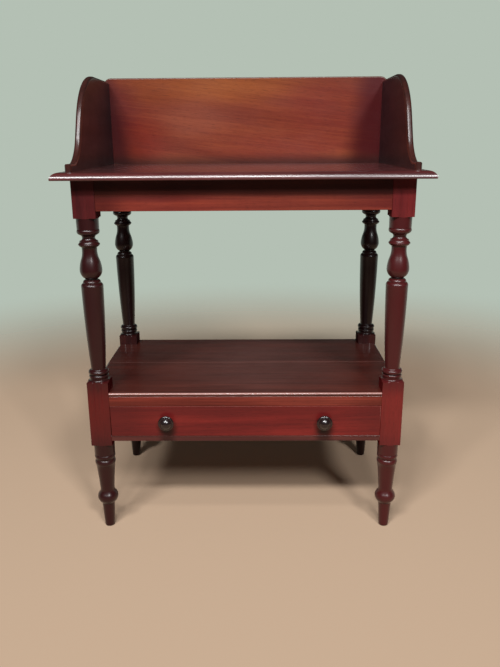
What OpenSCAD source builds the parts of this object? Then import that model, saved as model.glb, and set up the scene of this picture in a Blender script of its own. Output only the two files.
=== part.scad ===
// Washstand: a moulded top with a gallery round three sides, on four turned legs that
// also carry a shelf with one long drawer under it. All of it is wood, joined as a
// cabinet maker joins it: mortise and tenon frame, dovetailed drawer, glue blocks.
// Millimetres, X to the right, Y to the back, Z up. The origin is on the floor, under
// the middle of the top board.

/* [Frame] */
// Width over the leg blocks
frame_w = 635; // [560:1:760]
// Depth over the leg blocks
frame_d = 372; // [330:1:440]
// Height of the upper face of the top board
top_height = 745; // [715:1:790]
// Side of the square leg blocks
leg_block = 43; // [39:0.5:46]
// Depth of the upper rails
apron_h = 57.5; // [45:0.5:70]
// Thickness of the front and side rails
rail_t = 20; // [16:0.5:22]
// Thickness of the back rails
back_rail_t = 18; // [14:0.5:20]
// How far the rails lie back from the faces of the leg blocks
setback = 1; // [0.5:0.25:3]
// How far the upper leg blocks reach below the rails
upper_block_drop = 14; // [10:0.5:25]

/* [Top board] */
// Thickness of the top board
top_t = 14; // [14:0.5:20]
// Overhang of the top board at each side
side_overhang = 29.5; // [24:0.5:40]
// Overhang of the top board at the front
front_overhang = 30; // [26:1:40]
// Overhang of the top board at the back
back_overhang = 4; // [3:0.5:12]
// Width of the thumb moulding along the front and the sides
thumb_w = 15; // [8:0.5:18]
// Height of the thumb moulding, from the upper face down
thumb_h = 12.5; // [6:0.5:12.5]

/* [Gallery] */
// Thickness of the gallery sides
side_board_t = 12.5; // [10:0.5:16]
// Thickness of the gallery back
back_board_t = 12; // [10:0.5:14]
// Distance of the gallery sides from the ends of the top board
gallery_inset = 23.5; // [18:0.5:30]
// Distance of the gallery sides from the front edge of the top board
gallery_start = 22; // [18:0.5:40]
// Height of the gallery sides
side_board_h = 182; // [160:1:210]
// Height of the gallery back
back_board_h = 190; // [165:1:220]
// Height of the square step at the front end of a gallery side
step_h = 14.5; // [10:0.5:20]
// Length of that step
step_l = 32; // [20:1:40]
// Radius of the hollow above the step
hollow_r = 84; // [60:1:90]
// Radius of the shoulder at the top
shoulder_r = 145; // [110:1:160]
// Slope where the hollow leaves the step, in degrees
hollow_start = 15; // [10:1:25]
// Steepest slope between hollow and shoulder, in degrees
sweep_slope = 64; // [55:0.5:66]
// Radius of the rounded upper corners of the gallery back
back_corner_r = 17; // [8:0.5:25]
// Radius of the rounded edges of the gallery sides
gallery_edge_r = 4.75; // [2:0.25:4.75]
// Radius of the rounded edges of the gallery back
back_edge_r = 2.5; // [1:0.25:4]

/* [Leg turning] */
// Diameter of the neck under the top bead
neck_d = 24.5; // [18:0.5:28]
// Diameter of the vase at its lip
lip_d = 29.2; // [25:0.2:31]
// Diameter of the waist under the vase
waist_d = 24.5; // [19:0.5:27]
// Diameter of the tapered shaft at its foot
shaft_foot_d = 29; // [25:0.5:32]
// Swell of the tapered shaft
shaft_swell = 1.25; // [0.5:0.25:2]
// Diameter of the ankle above the ball of the foot
ankle_d = 29.4; // [23:0.2:31]
// Height of the toe under the ball of the foot
toe_h = 57; // [45:0.5:65]
// Height of the ball of the foot
ball_h = 29; // [24:0.5:36]
// Diameter of the toe on the floor
toe_d = 20; // [16:0.5:24]
// Height of the turned foot under the lower block
foot_h = 196; // [180:1:215]

/* [Shelf and drawer case] */
// How far the lower block reaches below the drawer case
block_below_case = 11; // [5:0.5:20]
// How far the lower block rises above the shelf
block_above_shelf = 22.5; // [15:0.5:35]
// Thickness of the rail under the drawer
low_rail_t = 11.6; // [11:0.2:18]
// Height of the drawer opening
opening_h = 65.4; // [58:0.2:80]
// Thickness of the rail over the drawer
high_rail_t = 20.5; // [16:0.5:25]
// Thickness of the shelf
shelf_t = 8; // [6:0.5:12]
// How far the front edge of the shelf stands out from the leg blocks
shelf_nose = 1; // [0:0.25:4]
// Depth of the front board of the shelf, behind the faces of the leg blocks
shelf_front_d = 191; // [150:1:220]
// How far the shelf stops short of the back of the leg blocks
shelf_back_gap = 4; // [1:0.5:10]
// Gap between the shelf and the leg blocks, and between its two boards
shelf_gap = 0.3; // [0.1:0.1:0.6]
// Width of the drawer runners
runner_w = 45; // [40:1:60]
// Height of the drawer guides
guide_h = 24; // [16:1:35]
// Width of the kickers over the drawer sides
kicker_w = 33; // [30:1:45]

/* [Drawer] */
// Gap at each side of the drawer
drawer_side_gap = 0.5; // [0.3:0.1:1]
// Gap under and over the drawer front
drawer_gap = 0.4; // [0.3:0.1:1]
// Thickness of the drawer front
drawer_front_t = 18; // [16:0.5:20]
// Thickness of the drawer sides
drawer_side_t = 9; // [7:0.5:11]
// Thickness of the drawer back
drawer_back_t = 9; // [7:0.5:12]
// Thickness of the drawer bottom
drawer_bottom_t = 6; // [5:0.5:8]
// Depth of the grooves that hold the drawer bottom
groove_d = 4; // [3:0.25:5]
// Height of those grooves over the lower edge of the drawer
groove_up = 7.5; // [6:0.5:10]
// How far the drawer sides stay below the top of its front
side_drop = 2; // [1:0.5:5]
// How far the drawer back stays below the top of the sides
back_drop = 5; // [3:0.5:10]
// Space between the drawer and the back rail
drawer_back_space = 15; // [8:1:40]
// Lap that hides the front dovetails
dovetail_lap = 4; // [3:0.5:5]
// Width of the thin pins between the dovetails
pin_w = 5; // [4:0.5:6]
// Slope of the dovetails, in degrees
dovetail_slope = 8; // [6:0.5:9]
// Thickness of the two drawer stops
stop_t = 4.5; // [3:0.5:6]

/* [Knobs] */
// Largest diameter of a knob
knob_d = 32; // [28:0.5:36]
// How far a knob stands out from the drawer front
knob_l = 23; // [21:0.5:27]
// Diameter of the foot of a knob
knob_foot_d = 20; // [17:0.5:24]
// Diameter of the neck of a knob
knob_neck_d = 14; // [12:0.5:16]
// Diameter of the spigot that goes through the drawer front
spigot_d = 11; // [9:0.5:11.5]
// Distance between the two knobs
knob_spacing = 320; // [260:1:380]

/* [Joints and fixings] */
// Thickness of the tenons
tenon_t = 8; // [6:0.5:9]
// Length of the tenons
tenon_l = 18; // [12:0.5:19]
// Shoulder above and below a tenon
tenon_shoulder = 7; // [4:0.5:12]
// Gap round a tenon in its mortise
glue_gap = 0.15; // [0.05:0.05:0.3]
// Gap round a dovetail, a spigot or a screw
fit_gap = 0.08; // [0.05:0.01:0.15]
// Radius of the screws
screw_r = 2; // [1.5:0.1:2.2]
// Radius of the screw heads
screw_head_r = 4; // [3.2:0.1:4.2]
// Length of the screws
screw_l = 32; // [26:1:36]
// Legs of the triangular glue blocks
glue_block = 16; // [12:0.5:18]
// Length of the glue blocks
glue_block_l = 45; // [30:1:60]

/* [Hidden] */

$fn = 64;
cut = 1;                 // how far a cutter reaches past the face that it opens, and how far
                         // the parts of one piece reach into each other
arc_step = 12;           // most degrees of an arc between two of its points

// Colours of the polished outside, the turnings, the gallery, the plain inside and the rest
polished = "#6f2c26";
dark_polish = "#532421";
turned = "#452120";
orange = "#8a4231";
plain = "#8d6547";
dark_knob = "#2c1816";
steel = "#86827c";

// Heights, from the floor up
case_low = foot_h + block_below_case;
opening_low = case_low + low_rail_t;
opening_high = opening_low + opening_h;
shelf_low = opening_high + high_rail_t;
shelf_high = shelf_low + shelf_t;
lower_block_high = shelf_high + block_above_shelf;
top_low = top_height - top_t;
apron_low = top_low - apron_h;
upper_block_low = apron_low - upper_block_drop;
case_h = shelf_low - case_low;

// Plan, with the top board centred on the origin
top_w = frame_w + 2 * side_overhang;
top_d = frame_d + front_overhang + back_overhang;
top_front = -top_d / 2;
top_back = top_d / 2;
frame_front = top_front + front_overhang;
frame_back = top_back - back_overhang;
frame_mid = (frame_front + frame_back) / 2;
leg_x = frame_w / 2 - leg_block / 2;
opening_x = frame_w / 2 - leg_block;          // half the clear width between the legs
opening_y = frame_d / 2 - leg_block;          // half the clear depth between the legs
side_rail_in = frame_w / 2 - setback - rail_t;
back_rail_in = frame_back - setback - back_rail_t;
rear_of_front_block = frame_front + leg_block;

// A point list of an arc from a to b. The bulge is the rise of the arc over its chord,
// to the left of the way from a to b where it is positive.
function arc_points(a, b, bulge) =
    let (chord = norm(b - a),
         half = 2 * atan(2 * bulge / chord),
         radius = chord / 2 / sin(half),
         along = (b - a) / chord,
         out = [-along.y, along.x],
         steps = max(4, round(2 * abs(half) / arc_step)))
    [for (i = [1:steps])
        let (angle = half * (2 * i / steps - 1))
        a + (chord / 2 + radius * sin(angle)) * along
          + radius * (cos(angle) - cos(half)) * out];

// An outline from rows of [x, y, bulge of the arc that leads there]
function outline(rows) =
    [for (i = [0:len(rows) - 1])
        let (here = [rows[i][0], rows[i][1]])
        each (i == 0 || rows[i][2] == 0) ? [here]
            : arc_points([rows[i - 1][0], rows[i - 1][1]], here, rows[i][2])];

// A turned solid on Z from such rows, which run down from the top
module turned_solid(rows)
    rotate_extrude()
        polygon(concat([[0, rows[0][1]]], outline(rows), [[0, rows[len(rows) - 1][1]]]));

// A board with rounded edges, standing in the XZ plane and centred on Y. edge_at(inset)
// gives its outline drawn in by an inset, always with the same number of points.
module rounded_board(edge_at, thick, radius) {
    turns = 4;
    front_half = [for (i = [0:turns])
        [-thick / 2 + radius * (1 - cos(90 * i / turns)), radius * (1 - sin(90 * i / turns))]];
    back_half = [for (i = [turns:-1:0]) [-front_half[i][0], front_half[i][1]]];
    layers = concat(front_half, back_half);
    count = len(edge_at(0));
    last = len(layers) - 1;
    points = [for (layer = layers) each [for (p = edge_at(layer[1])) [p.x, layer[0], p.y]]];
    sides = [for (k = [0:last - 1]) each [for (i = [0:count - 1])
        let (j = (i + 1) % count)
        [k * count + i, (k + 1) * count + i, (k + 1) * count + j, k * count + j]]];
    front = [for (i = [0:count - 1]) i];
    back = [for (i = [count - 1:-1:0]) last * count + i];
    polyhedron(points, concat([front], sides, [back]), convexity = 6);
}

// A countersunk wood screw along Z, its head at the origin and its tip up. A gap above
// nothing makes the hole for it, open for the depth below the head.
module wood_screw(gap = 0, open = 0) {
    cone_h = screw_head_r - screw_r;
    rim_h = 0.4;
    tip_l = 2 * screw_r;
    rotate_extrude()
        polygon([[0, -open], [screw_head_r + gap, -open], [screw_head_r + gap, rim_h],
            [screw_r + gap, cone_h + rim_h], [screw_r + gap, screw_l - tip_l],
            [gap, screw_l + gap], [0, screw_l + gap]]);
}

// Tenons

// A rail along X from one post to the other, its lower edge at Z 0 and its inner face at +Y
module rail_body(half_l, thick, high)
    translate([-half_l, -thick / 2, 0])
        cube([2 * half_l, thick, high]);

// Its two tenons, or with a gap the mortises for them
module rail_tenons(half_l, high, gap = 0)
    for (s = [-1, 1])
        translate([s * (half_l + (tenon_l + gap - cut) / 2), 0, high / 2])
            cube([tenon_l + gap + cut, tenon_t + 2 * gap, high - 2 * tenon_shoulder + 2 * gap],
                center = true);

module rail(half_l, thick, high) {
    rail_body(half_l, thick, high);
    rail_tenons(half_l, high);
}

// The twin tenons of the two flat rails of the drawer opening
twin_tenon_w = 10;
twin_tenon_l = 13;
twin_tenon_inset = 5;        // from the front and back edges of the rail
module twin_tenons(thick, gap = 0) {
    high = thick - 2 * min(tenon_shoulder, thick / 5);
    for (s = [-1, 1])
        for (y = [twin_tenon_inset, leg_block - setback - twin_tenon_inset - twin_tenon_w])
            translate([s * (opening_x + (twin_tenon_l + gap - cut) / 2), y + twin_tenon_w / 2, thick / 2])
                cube([twin_tenon_l + gap + cut, twin_tenon_w + 2 * gap, high + 2 * gap], center = true);
}

// Places: each turns a rail so that its inner face looks into the frame
module at_front(z) translate([0, frame_front + setback + rail_t / 2, z]) children();
module at_back(z) translate([0, frame_back - setback - back_rail_t / 2, z]) rotate([0, 0, 180]) children();
module at_side(s, z)
    translate([s * (frame_w / 2 - setback - rail_t / 2), frame_mid, z])
        rotate([0, 0, 90 * s])
            children();
module at_flat_rail(z) translate([0, frame_front + setback, z]) children();

// Every mortise that one of the legs may have
module mortises() {
    at_front(apron_low) rail_tenons(opening_x, apron_h, glue_gap);
    for (z = [apron_low, case_low]) {
        high = z == apron_low ? apron_h : case_h;
        at_back(z) rail_tenons(opening_x, high, glue_gap);
        for (s = [-1, 1])
            at_side(s, z) rail_tenons(opening_y, high, glue_gap);
    }
    at_flat_rail(case_low) twin_tenons(low_rail_t, glue_gap);
    at_flat_rail(opening_high) twin_tenons(high_rail_t, glue_gap);
}

// Legs

full_r = leg_block / 2;
neck_r = neck_d / 2;
lip_r = lip_d / 2;
waist_r = waist_d / 2;
shaft_foot_r = shaft_foot_d / 2;
ankle_r = ankle_d / 2;
toe_r = toe_d / 2;

// The square block between two heights, its corners taken down a little by the lathe
block_ease = 1;
module leg_square(low, high, low_cut, high_cut) {
    corner_r = full_r * 1.45;      // just past the corners of the square
    face_r = full_r * 1.03;        // just past the middle of its faces
    intersection() {
        translate([-full_r, -full_r, low])
            cube([leg_block, leg_block, high - low]);
        rotate_extrude()
            polygon([[0, low], [low_cut > 0 ? face_r : corner_r, low], [corner_r, low + low_cut],
                [corner_r, high - high_cut], [high_cut > 0 ? face_r : corner_r, high], [0, high]]);
    }
}

// The members of the turning keep their proportion to the square that they are turned
// from: one unit is a millimetre on a block of 43 mm. Each row is a radius, a height and
// the bulge of the arc that leads there.
unit = leg_block / 43;

// The turning between the two blocks, from the top: cylinder and bead, neck, sharp ring,
// vase, waist, swelled and tapered shaft, and a collar of two beads
module turned_shaft(high, low) {
    top = full_r - 0.2 * unit;
    turned_solid([
        [top, high + cut, 0],
        [top, high, 0],
        [full_r - 0.6 * unit, high - 20.5 * unit, 0],
        [full_r - 1.2 * unit, high - 21 * unit, 0],
        [full_r - 3 * unit, high - 30 * unit, 2.2 * unit],
        [full_r - 4.4 * unit, high - 31 * unit, 0],
        [full_r - 4.2 * unit, high - 42.7 * unit, neck_r - full_r + 4.3 * unit],
        [full_r - 1.3 * unit, high - 48.4 * unit, -0.6 * unit],
        [full_r - 1.8 * unit, high - 50.9 * unit, 0.7 * unit],
        [lip_r + 0.4 * unit, high - 54.4 * unit, 0.8 * unit],
        [lip_r, high - 55.9 * unit, 0],
        [full_r - 5 * unit, high - 76 * unit, -1.1 * unit],
        [full_r, high - 99.5 * unit, unit],
        [full_r - 5.5 * unit, high - 113 * unit, 1.3 * unit],
        [waist_r, high - 116.8 * unit, -0.5 * unit],
        [waist_r, high - 117.6 * unit, 0],
        [waist_r + 0.8 * unit, high - 118.2 * unit, 0],
        [full_r - 4.2 * unit, high - 124 * unit, 1.3 * unit],
        [full_r - 4.4 * unit, high - 124.8 * unit, 0],
        [full_r - 0.25 * unit, high - 132.5 * unit, 1.6 * unit],
        [shaft_foot_r, low + 25.5 * unit, shaft_swell],
        [shaft_foot_r + 0.6 * unit, low + 23 * unit, -0.2 * unit],
        [shaft_foot_r + 1.1 * unit, low + 22.5 * unit, 0],
        [full_r - 4.6 * unit, low + 12.8 * unit, 4.1 * unit],
        [full_r - 3.2 * unit, low + 12.2 * unit, 0],
        [full_r - 2.4 * unit, low + 7 * unit, 0.9 * unit],
        [full_r - 3.1 * unit, low + 6 * unit, 0],
        [full_r - 3 * unit, low + 3.5 * unit, 0],
        [full_r - 0.4 * unit, low, -0.6 * unit],
        [full_r - 0.4 * unit, low - cut, 0]]);
}

// The foot, from the lower block down: cylinder, two beads, hollow taper, ball and toe
module turned_foot(high) {
    top = full_r - 0.2 * unit;
    turned_solid([
        [top, high + cut, 0],
        [top, high, 0],
        [full_r - 0.6 * unit, high - 25 * unit, 0],
        [full_r - 1.4 * unit, high - 25.5 * unit, 0],
        [full_r - 1.6 * unit, high - 33.5 * unit, 1.3 * unit],
        [full_r - 2.4 * unit, high - 34.5 * unit, 0],
        [full_r - 2.4 * unit, high - 37 * unit, 0],
        [full_r - 2 * unit, high - 48 * unit, 1.9 * unit],
        [ankle_r, toe_h + ball_h + 4.5 * unit, -0.3 * unit],
        [ankle_r + 0.4 * unit, toe_h + ball_h - unit, -0.2 * unit],
        [full_r - 3.1 * unit, toe_h + 0.78 * ball_h, 0],
        [full_r, toe_h + 0.45 * ball_h, 0.8 * unit],
        [full_r - 7.5 * unit, toe_h, 1.7 * unit],
        [full_r - 8.3 * unit, toe_h - 3.5 * unit, -0.3 * unit],
        [toe_r + 0.3 * unit, 3.5 * unit, 0],
        [toe_r - 2.5 * unit, 0, unit]]);
}

module leg(sx, sy) {
    leg_y = sy < 0 ? frame_front + full_r : frame_back - full_r;
    color(turned)
        difference() {
            translate([sx * leg_x, leg_y, 0]) {
                leg_square(upper_block_low, top_low, block_ease, 0);
                turned_shaft(upper_block_low, lower_block_high);
                leg_square(foot_h, lower_block_high, block_ease, 1.5 * block_ease);
                turned_foot(foot_h);
            }
            mortises();
        }
}

// Top board and gallery

side_board_x = top_w / 2 - gallery_inset - side_board_t / 2;
side_board_front = top_front + gallery_start;
side_board_l = top_back - back_board_t - side_board_front;
back_board_y = top_back - back_board_t / 2;
back_board_w = 2 * side_board_x + side_board_t;
head_sink = 0.5;             // how deep the screw heads lie under the surface
side_screws_at = [0.3, 0.72];                      // of the length of a gallery side
back_screws_at = [-0.75, -0.25, 0.25, 0.75];       // of half the width of the gallery back
corner_screws_at = [0.22, 0.76];                   // of the height of a gallery side

function reversed(list) = [for (i = [len(list) - 1:-1:0]) list[i]];

// One moulded edge of the top board in its end view, from the upper face out to the tip
// and round to the lower face. s is 1 where the tip lies at the positive end.
thumb_steps = 8;
top_ease = 1;                // of the lower arris
function thumb_edge(tip, s) = concat(
    [for (i = [0:thumb_steps])
        let (a = 90 * i / thumb_steps)
        [tip - s * thumb_w * (1 - sin(a)), top_height - thumb_h * (1 - cos(a))]],
    [[tip, top_low + top_ease], [tip - s * top_ease, top_low]]);

// Where the gallery boards stand on the top board
module at_gallery_sides() for (s = [-1, 1]) translate([s * side_board_x, 0, 0]) children();

// The screws that come up through the top board into the gallery. With a gap they are
// the holes for them, open for the depth of the heads.
module gallery_screw_set(gap = 0, open = 0) {
    at_gallery_sides()
        for (along = side_screws_at)
            translate([0, side_board_front + along * side_board_l, top_low + head_sink])
                wood_screw(gap, open);
    for (across = back_screws_at)
        translate([across * side_board_x, back_board_y, top_low + head_sink])
            wood_screw(gap, open);
}

// The screws through the gallery back into the ends of its sides
module corner_screw_set(gap = 0, open = 0)
    at_gallery_sides()
        for (up = corner_screws_at)
            translate([0, top_back - head_sink, top_height + up * side_board_h])
                rotate([90, 0, 0])
                    wood_screw(gap, open);

// The screws from pockets in the upper rails into the top board. Z 0 is the upper edge of
// a rail, and each head sits on the floor of its pocket.
pocket_slope = 20;
pocket_seat = 27;            // from the upper edge of the rail, along the screw
pocket_screw_l = 37.5;
pocket_screw_tip = 3;
pocket_head_h = 2.6;
pocket_head_rim = 0.8;       // height of the upright rim of the domed head
pocket_head_flat = 0.6;      // how far the flat on top of it is wider than the screw
pocket_room = 1.2;           // round the head
pockets_at = [-0.55, 0.55];  // of half the clear width between the legs
module pocket_screw() rotate_extrude()
    polygon([[0, -pocket_seat - pocket_head_h],
        [screw_r + pocket_head_flat, -pocket_seat - pocket_head_h],
        [screw_head_r, -pocket_seat - pocket_head_rim], [screw_head_r, -pocket_seat],
        [screw_r, -pocket_seat], [screw_r, pocket_screw_l - pocket_seat - pocket_screw_tip],
        [0, pocket_screw_l - pocket_seat]]);
module pocket_hole() {
    translate([0, 0, -pocket_seat - cut])
        cylinder(r = screw_r + fit_gap, h = pocket_screw_l + cut + fit_gap);
    translate([0, 0, -2 * apron_h])
        cylinder(r = screw_head_r + pocket_room, h = 2 * apron_h - pocket_seat);
}
module at_pockets() {
    at_front(top_low) for (x = pockets_at) translate([x * opening_x, 0, 0]) lean() children();
    at_back(top_low) for (x = pockets_at) translate([x * opening_x, 0, 0]) lean() children();
    for (s = [-1, 1]) at_side(s, top_low) lean() children();
}
module lean() rotate([pocket_slope, 0, 0]) children();

// Slab with a thumb moulding on the front and both ends, mitred at the corners
module top_board()
    color(polished)
        difference() {
            intersection() {
                rotate([90, 0, 90])
                    linear_extrude(top_w + 2 * cut, center = true)
                        polygon(concat(thumb_edge(top_front, -1),
                            [[top_back, top_low], [top_back, top_height]]));
                rotate([90, 0, 0])
                    linear_extrude(top_d + 2 * cut, center = true)
                        polygon(concat(thumb_edge(-top_w / 2, -1), reversed(thumb_edge(top_w / 2, 1))));
            }
            gallery_screw_set(fit_gap, cut);
            at_pockets() pocket_hole();
        }

// The swept outline of a gallery side: along is the distance from its front end and up
// the height over the top board
swept_rise = side_board_h - step_h - hollow_r * (cos(hollow_start) - cos(sweep_slope))
    - shoulder_r * (1 - cos(sweep_slope));
hollow_along = step_l - hollow_r * sin(hollow_start);
hollow_up = step_h + hollow_r * cos(hollow_start);
shoulder_along = hollow_along + hollow_r * sin(sweep_slope)
    + swept_rise / tan(sweep_slope) + shoulder_r * sin(sweep_slope);
side_outline = function (inset)
    let (first = acos((hollow_up - step_h + inset) / (hollow_r + inset)), steps = 9)
    concat(
        [[side_board_l, 0], [side_board_l, side_board_h - inset]],
        [for (i = [0:steps]) let (a = sweep_slope * i / steps)
            [shoulder_along - (shoulder_r - inset) * sin(a),
             side_board_h - shoulder_r + (shoulder_r - inset) * cos(a)]],
        [for (i = [0:steps]) let (a = sweep_slope + (first - sweep_slope) * i / steps)
            [hollow_along + (hollow_r + inset) * sin(a), hollow_up - (hollow_r + inset) * cos(a)]],
        [[inset, step_h - inset], [inset, 0]]);

module gallery_side(s)
    color(dark_polish)
        difference() {
            translate([s * side_board_x, side_board_front, top_height])
                rotate([0, 0, 90])
                    rounded_board(side_outline, side_board_t, gallery_edge_r);
            gallery_screw_set(fit_gap, cut);
            corner_screw_set(fit_gap, cut);
        }

// The gallery back, a plain board with rounded upper corners
back_outline = function (inset)
    let (half = back_board_w / 2 - inset, high = back_board_h - inset, r = back_corner_r - inset,
         steps = 6)
    concat(
        [[half, 0]],
        [for (i = [0:steps]) let (a = 90 * i / steps)
            [half - r + r * cos(a), high - r + r * sin(a)]],
        [for (i = [0:steps]) let (a = 90 * i / steps)
            [-half + r - r * sin(a), high - r + r * cos(a)]],
        [[-half, 0]]);
module gallery_back()
    color(orange)
        difference() {
            translate([0, back_board_y, top_height])
                rounded_board(back_outline, back_board_t, back_edge_r);
            gallery_screw_set(fit_gap, cut);
            corner_screw_set(fit_gap, cut);
        }

// Upper rails, with the pockets of the screws that hold the top board
module upper_rail_front()
    color(polished)
        difference() {
            at_front(apron_low) rail(opening_x, rail_t, apron_h);
            at_pockets() pocket_hole();
        }
module upper_rail_back()
    color(dark_polish)
        difference() {
            at_back(apron_low) rail(opening_x, back_rail_t, apron_h);
            at_pockets() pocket_hole();
        }
module upper_rail_side(s)
    color(polished)
        difference() {
            at_side(s, apron_low) rail(opening_y, rail_t, apron_h);
            at_pockets() pocket_hole();
        }

// A triangular block, glued in the corner under a board and against the inside of a rail
long_blocks_at = [-0.82, 0, 0.82];     // of half the clear width between the legs
short_blocks_at = [-0.6, 0.6];         // of half the clear depth between the legs
shelf_blocks_at = [-0.5, 0, 0.5];      // of half the clear width between the legs
module corner_block()
    rotate([90, 0, 90])
        linear_extrude(glue_block_l, center = true)
            polygon([[0, 0], [0, -glue_block], [glue_block, 0]]);
module top_glue_blocks()
    color(plain) {
        for (x = long_blocks_at) {
            at_front(top_low) translate([x * opening_x, rail_t / 2, 0]) corner_block();
            at_back(top_low) translate([x * opening_x, back_rail_t / 2, 0]) corner_block();
        }
        for (s = [-1, 1], x = short_blocks_at)
            at_side(s, top_low) translate([x * opening_y, rail_t / 2, 0]) corner_block();
    }

// Shelf

// Edge with a half round nose, in the end view of a shelf board
function nose(tip, s) = [for (i = [0:8]) let (a = 90 - 22.5 * i)
    [tip - s * shelf_t / 2 * (1 - cos(a)), shelf_low + shelf_t / 2 * (1 + sin(a))]];

shelf_front = frame_front - shelf_nose;
shelf_joint = frame_front + shelf_front_d;
shelf_back = frame_back - shelf_back_gap;

// A board of the shelf between two distances from the front, with a rounded edge at both
// ends and cut out round the leg blocks. front_edge is its front edge in the end view.
module shelf_board(front_edge, back)
    difference() {
        intersection() {
            rotate([90, 0, 90])
                linear_extrude(frame_w + 2 * cut, center = true)
                    polygon(concat(front_edge, [[back, shelf_low], [back, shelf_high]]));
            rotate([90, 0, 0])
                linear_extrude(top_d, center = true)
                    polygon(concat(nose(-frame_w / 2, -1), reversed(nose(frame_w / 2, 1))));
        }
        for (sx = [-1, 1], y = [frame_front + full_r, frame_back - full_r])
            translate([sx * leg_x, y, shelf_low + shelf_t / 2])
                cube([leg_block + 2 * shelf_gap, leg_block + 2 * shelf_gap, shelf_t + cut], center = true);
        for (sx = [-1, 1])
            translate([sx * leg_x, frame_front, shelf_low + shelf_t / 2])
                cube([leg_block + 2 * shelf_gap, leg_block, shelf_t + cut], center = true);
    }

module shelf_front_board()
    color(dark_polish)
        shelf_board(nose(shelf_front, -1), shelf_joint);
module shelf_back_board()
    color(dark_polish)
        shelf_board([[shelf_joint + shelf_gap, shelf_high], [shelf_joint + shelf_gap, shelf_low]],
            shelf_back);

// Drawer case

flat_rail_d = leg_block - setback;
tongue_l = 6;                // of the runners, into the front rail and the back rail
tongue_w = 16;
tongue_t = 5;
tongue_inset = 4;            // from the inner edge of the runner

// The two flat rails over and under the drawer, with twin tenons
module flat_rail(z, thick)
    at_flat_rail(z) {
        translate([-opening_x, 0, 0])
            cube([2 * opening_x, flat_rail_d, thick]);
        twin_tenons(thick);
    }
module drawer_top_rail() color(polished) flat_rail(opening_high, high_rail_t);
module drawer_bottom_rail()
    color(polished)
        difference() {
            flat_rail(case_low, low_rail_t);
            for (s = [-1, 1]) runner_tongues(s, glue_gap);
        }

module lower_rail_side(s) color(polished) at_side(s, case_low) rail(opening_y, rail_t, case_h);
module lower_back_rail()
    color(dark_polish)
        difference() {
            at_back(case_low) rail(opening_x, back_rail_t, case_h);
            for (s = [-1, 1]) runner_tongues(s, glue_gap);
        }

// Runners carry the drawer sides. Each lies against a side rail, level with the rail under
// the drawer, and is notched round the back leg.
runner_in = side_rail_in - runner_w;
module runner_tongues(s, gap = 0)
    for (y = [rear_of_front_block, back_rail_in])
        translate([s * (runner_in + tongue_inset + tongue_w / 2), y, case_low + low_rail_t / 2])
            cube([tongue_w + 2 * gap, 2 * (tongue_l + gap), tongue_t + 2 * gap], center = true);
module runner(s)
    color(plain) {
        translate([0, 0, case_low])
            linear_extrude(low_rail_t)
                polygon([[s * runner_in, rear_of_front_block], [s * side_rail_in, rear_of_front_block],
                    [s * side_rail_in, frame_mid + opening_y],
                    [s * (opening_x - shelf_gap), frame_mid + opening_y],
                    [s * (opening_x - shelf_gap), back_rail_in], [s * runner_in, back_rail_in]]);
        runner_tongues(s);
    }

// A strip along a side rail, from the front leg to the back leg
module side_strip(s, wide, low, high)
    translate([s * (side_rail_in - wide / 2), frame_mid, (low + high) / 2])
        cube([wide, 2 * opening_y, high - low], center = true);
module guide(s) color(plain) side_strip(s, side_rail_in - opening_x, opening_low, opening_low + guide_h);
module kicker(s) color(plain) side_strip(s, kicker_w, opening_high, shelf_low);

module shelf_glue_blocks()
    color(plain)
        for (x = shelf_blocks_at)
            at_back(shelf_low) translate([x * opening_x, back_rail_t / 2, 0]) corner_block();

// Two stops on the rail under the drawer, just behind the drawer front
stop_l = 20;
stop_w = 45;
stops_at = 0.66;             // of half the clear width between the legs
module drawer_stops()
    color(plain)
        for (s = [-1, 1])
            translate([s * opening_x * stops_at, frame_front + drawer_front_t + drawer_gap + stop_l / 2,
                opening_low + stop_t / 2])
                cube([stop_w, stop_l, stop_t], center = true);

// Drawer

drawer_x = opening_x - drawer_side_gap;
drawer_low = opening_low + drawer_gap;
drawer_high = opening_high - drawer_gap;
side_high = drawer_high - side_drop;
drawer_inner_front = frame_front + drawer_front_t;
drawer_rear = back_rail_in - drawer_back_space;
drawer_back_front = drawer_rear - drawer_back_t;
side_in = drawer_x - drawer_side_t;
bottom_low = drawer_low + groove_up;
bottom_high = bottom_low + drawer_bottom_t;
back_low = bottom_high + fit_gap;
back_high = side_high - back_drop;

// Dovetails in a row up a drawer side. They start at Y 0 and run towards +Y, and are
// wide at that end.
module tails(low, high, count, edge, long, gap = 0) {
    pitch = (high - low - 2 * edge) / count;
    root = (pitch - pin_w) / 2;
    wide = root + long * tan(dovetail_slope);
    for (i = [0:count - 1])
        translate([0, 0, low + edge + pitch * (i + 0.5)])
            rotate([90, 0, 90])
                linear_extrude(drawer_side_t + 2 * gap, center = true)
                    polygon([[-cut, -root - gap], [0, -root - gap], [long + gap, -wide - gap],
                        [long + gap, wide + gap], [0, root + gap], [-cut, root + gap]]);
}
front_tail_l = drawer_front_t - dovetail_lap;
front_tail_count = 3;
front_tail_edge = 3.5;       // wood above and below the row
back_tail_count = 2;
back_tail_edge = 1;
module front_tails(s, gap = 0)
    translate([s * (drawer_x - drawer_side_t / 2), drawer_inner_front, 0])
        mirror([0, 1, 0])
            tails(drawer_low, side_high, front_tail_count, front_tail_edge, front_tail_l, gap);
module back_tails(s, gap = 0)
    translate([s * (drawer_x - drawer_side_t / 2), drawer_back_front, 0])
        tails(back_low, back_high, back_tail_count, back_tail_edge, drawer_back_t + cut, gap);

// The space that the bottom board takes in the front and in the sides
module bottom_space(gap)
    translate([-side_in - groove_d - gap, drawer_inner_front - groove_d - gap, bottom_low - gap])
        cube([2 * (side_in + groove_d + gap), drawer_rear + cut - drawer_inner_front + groove_d + gap,
            drawer_bottom_t + 2 * gap]);

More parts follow.
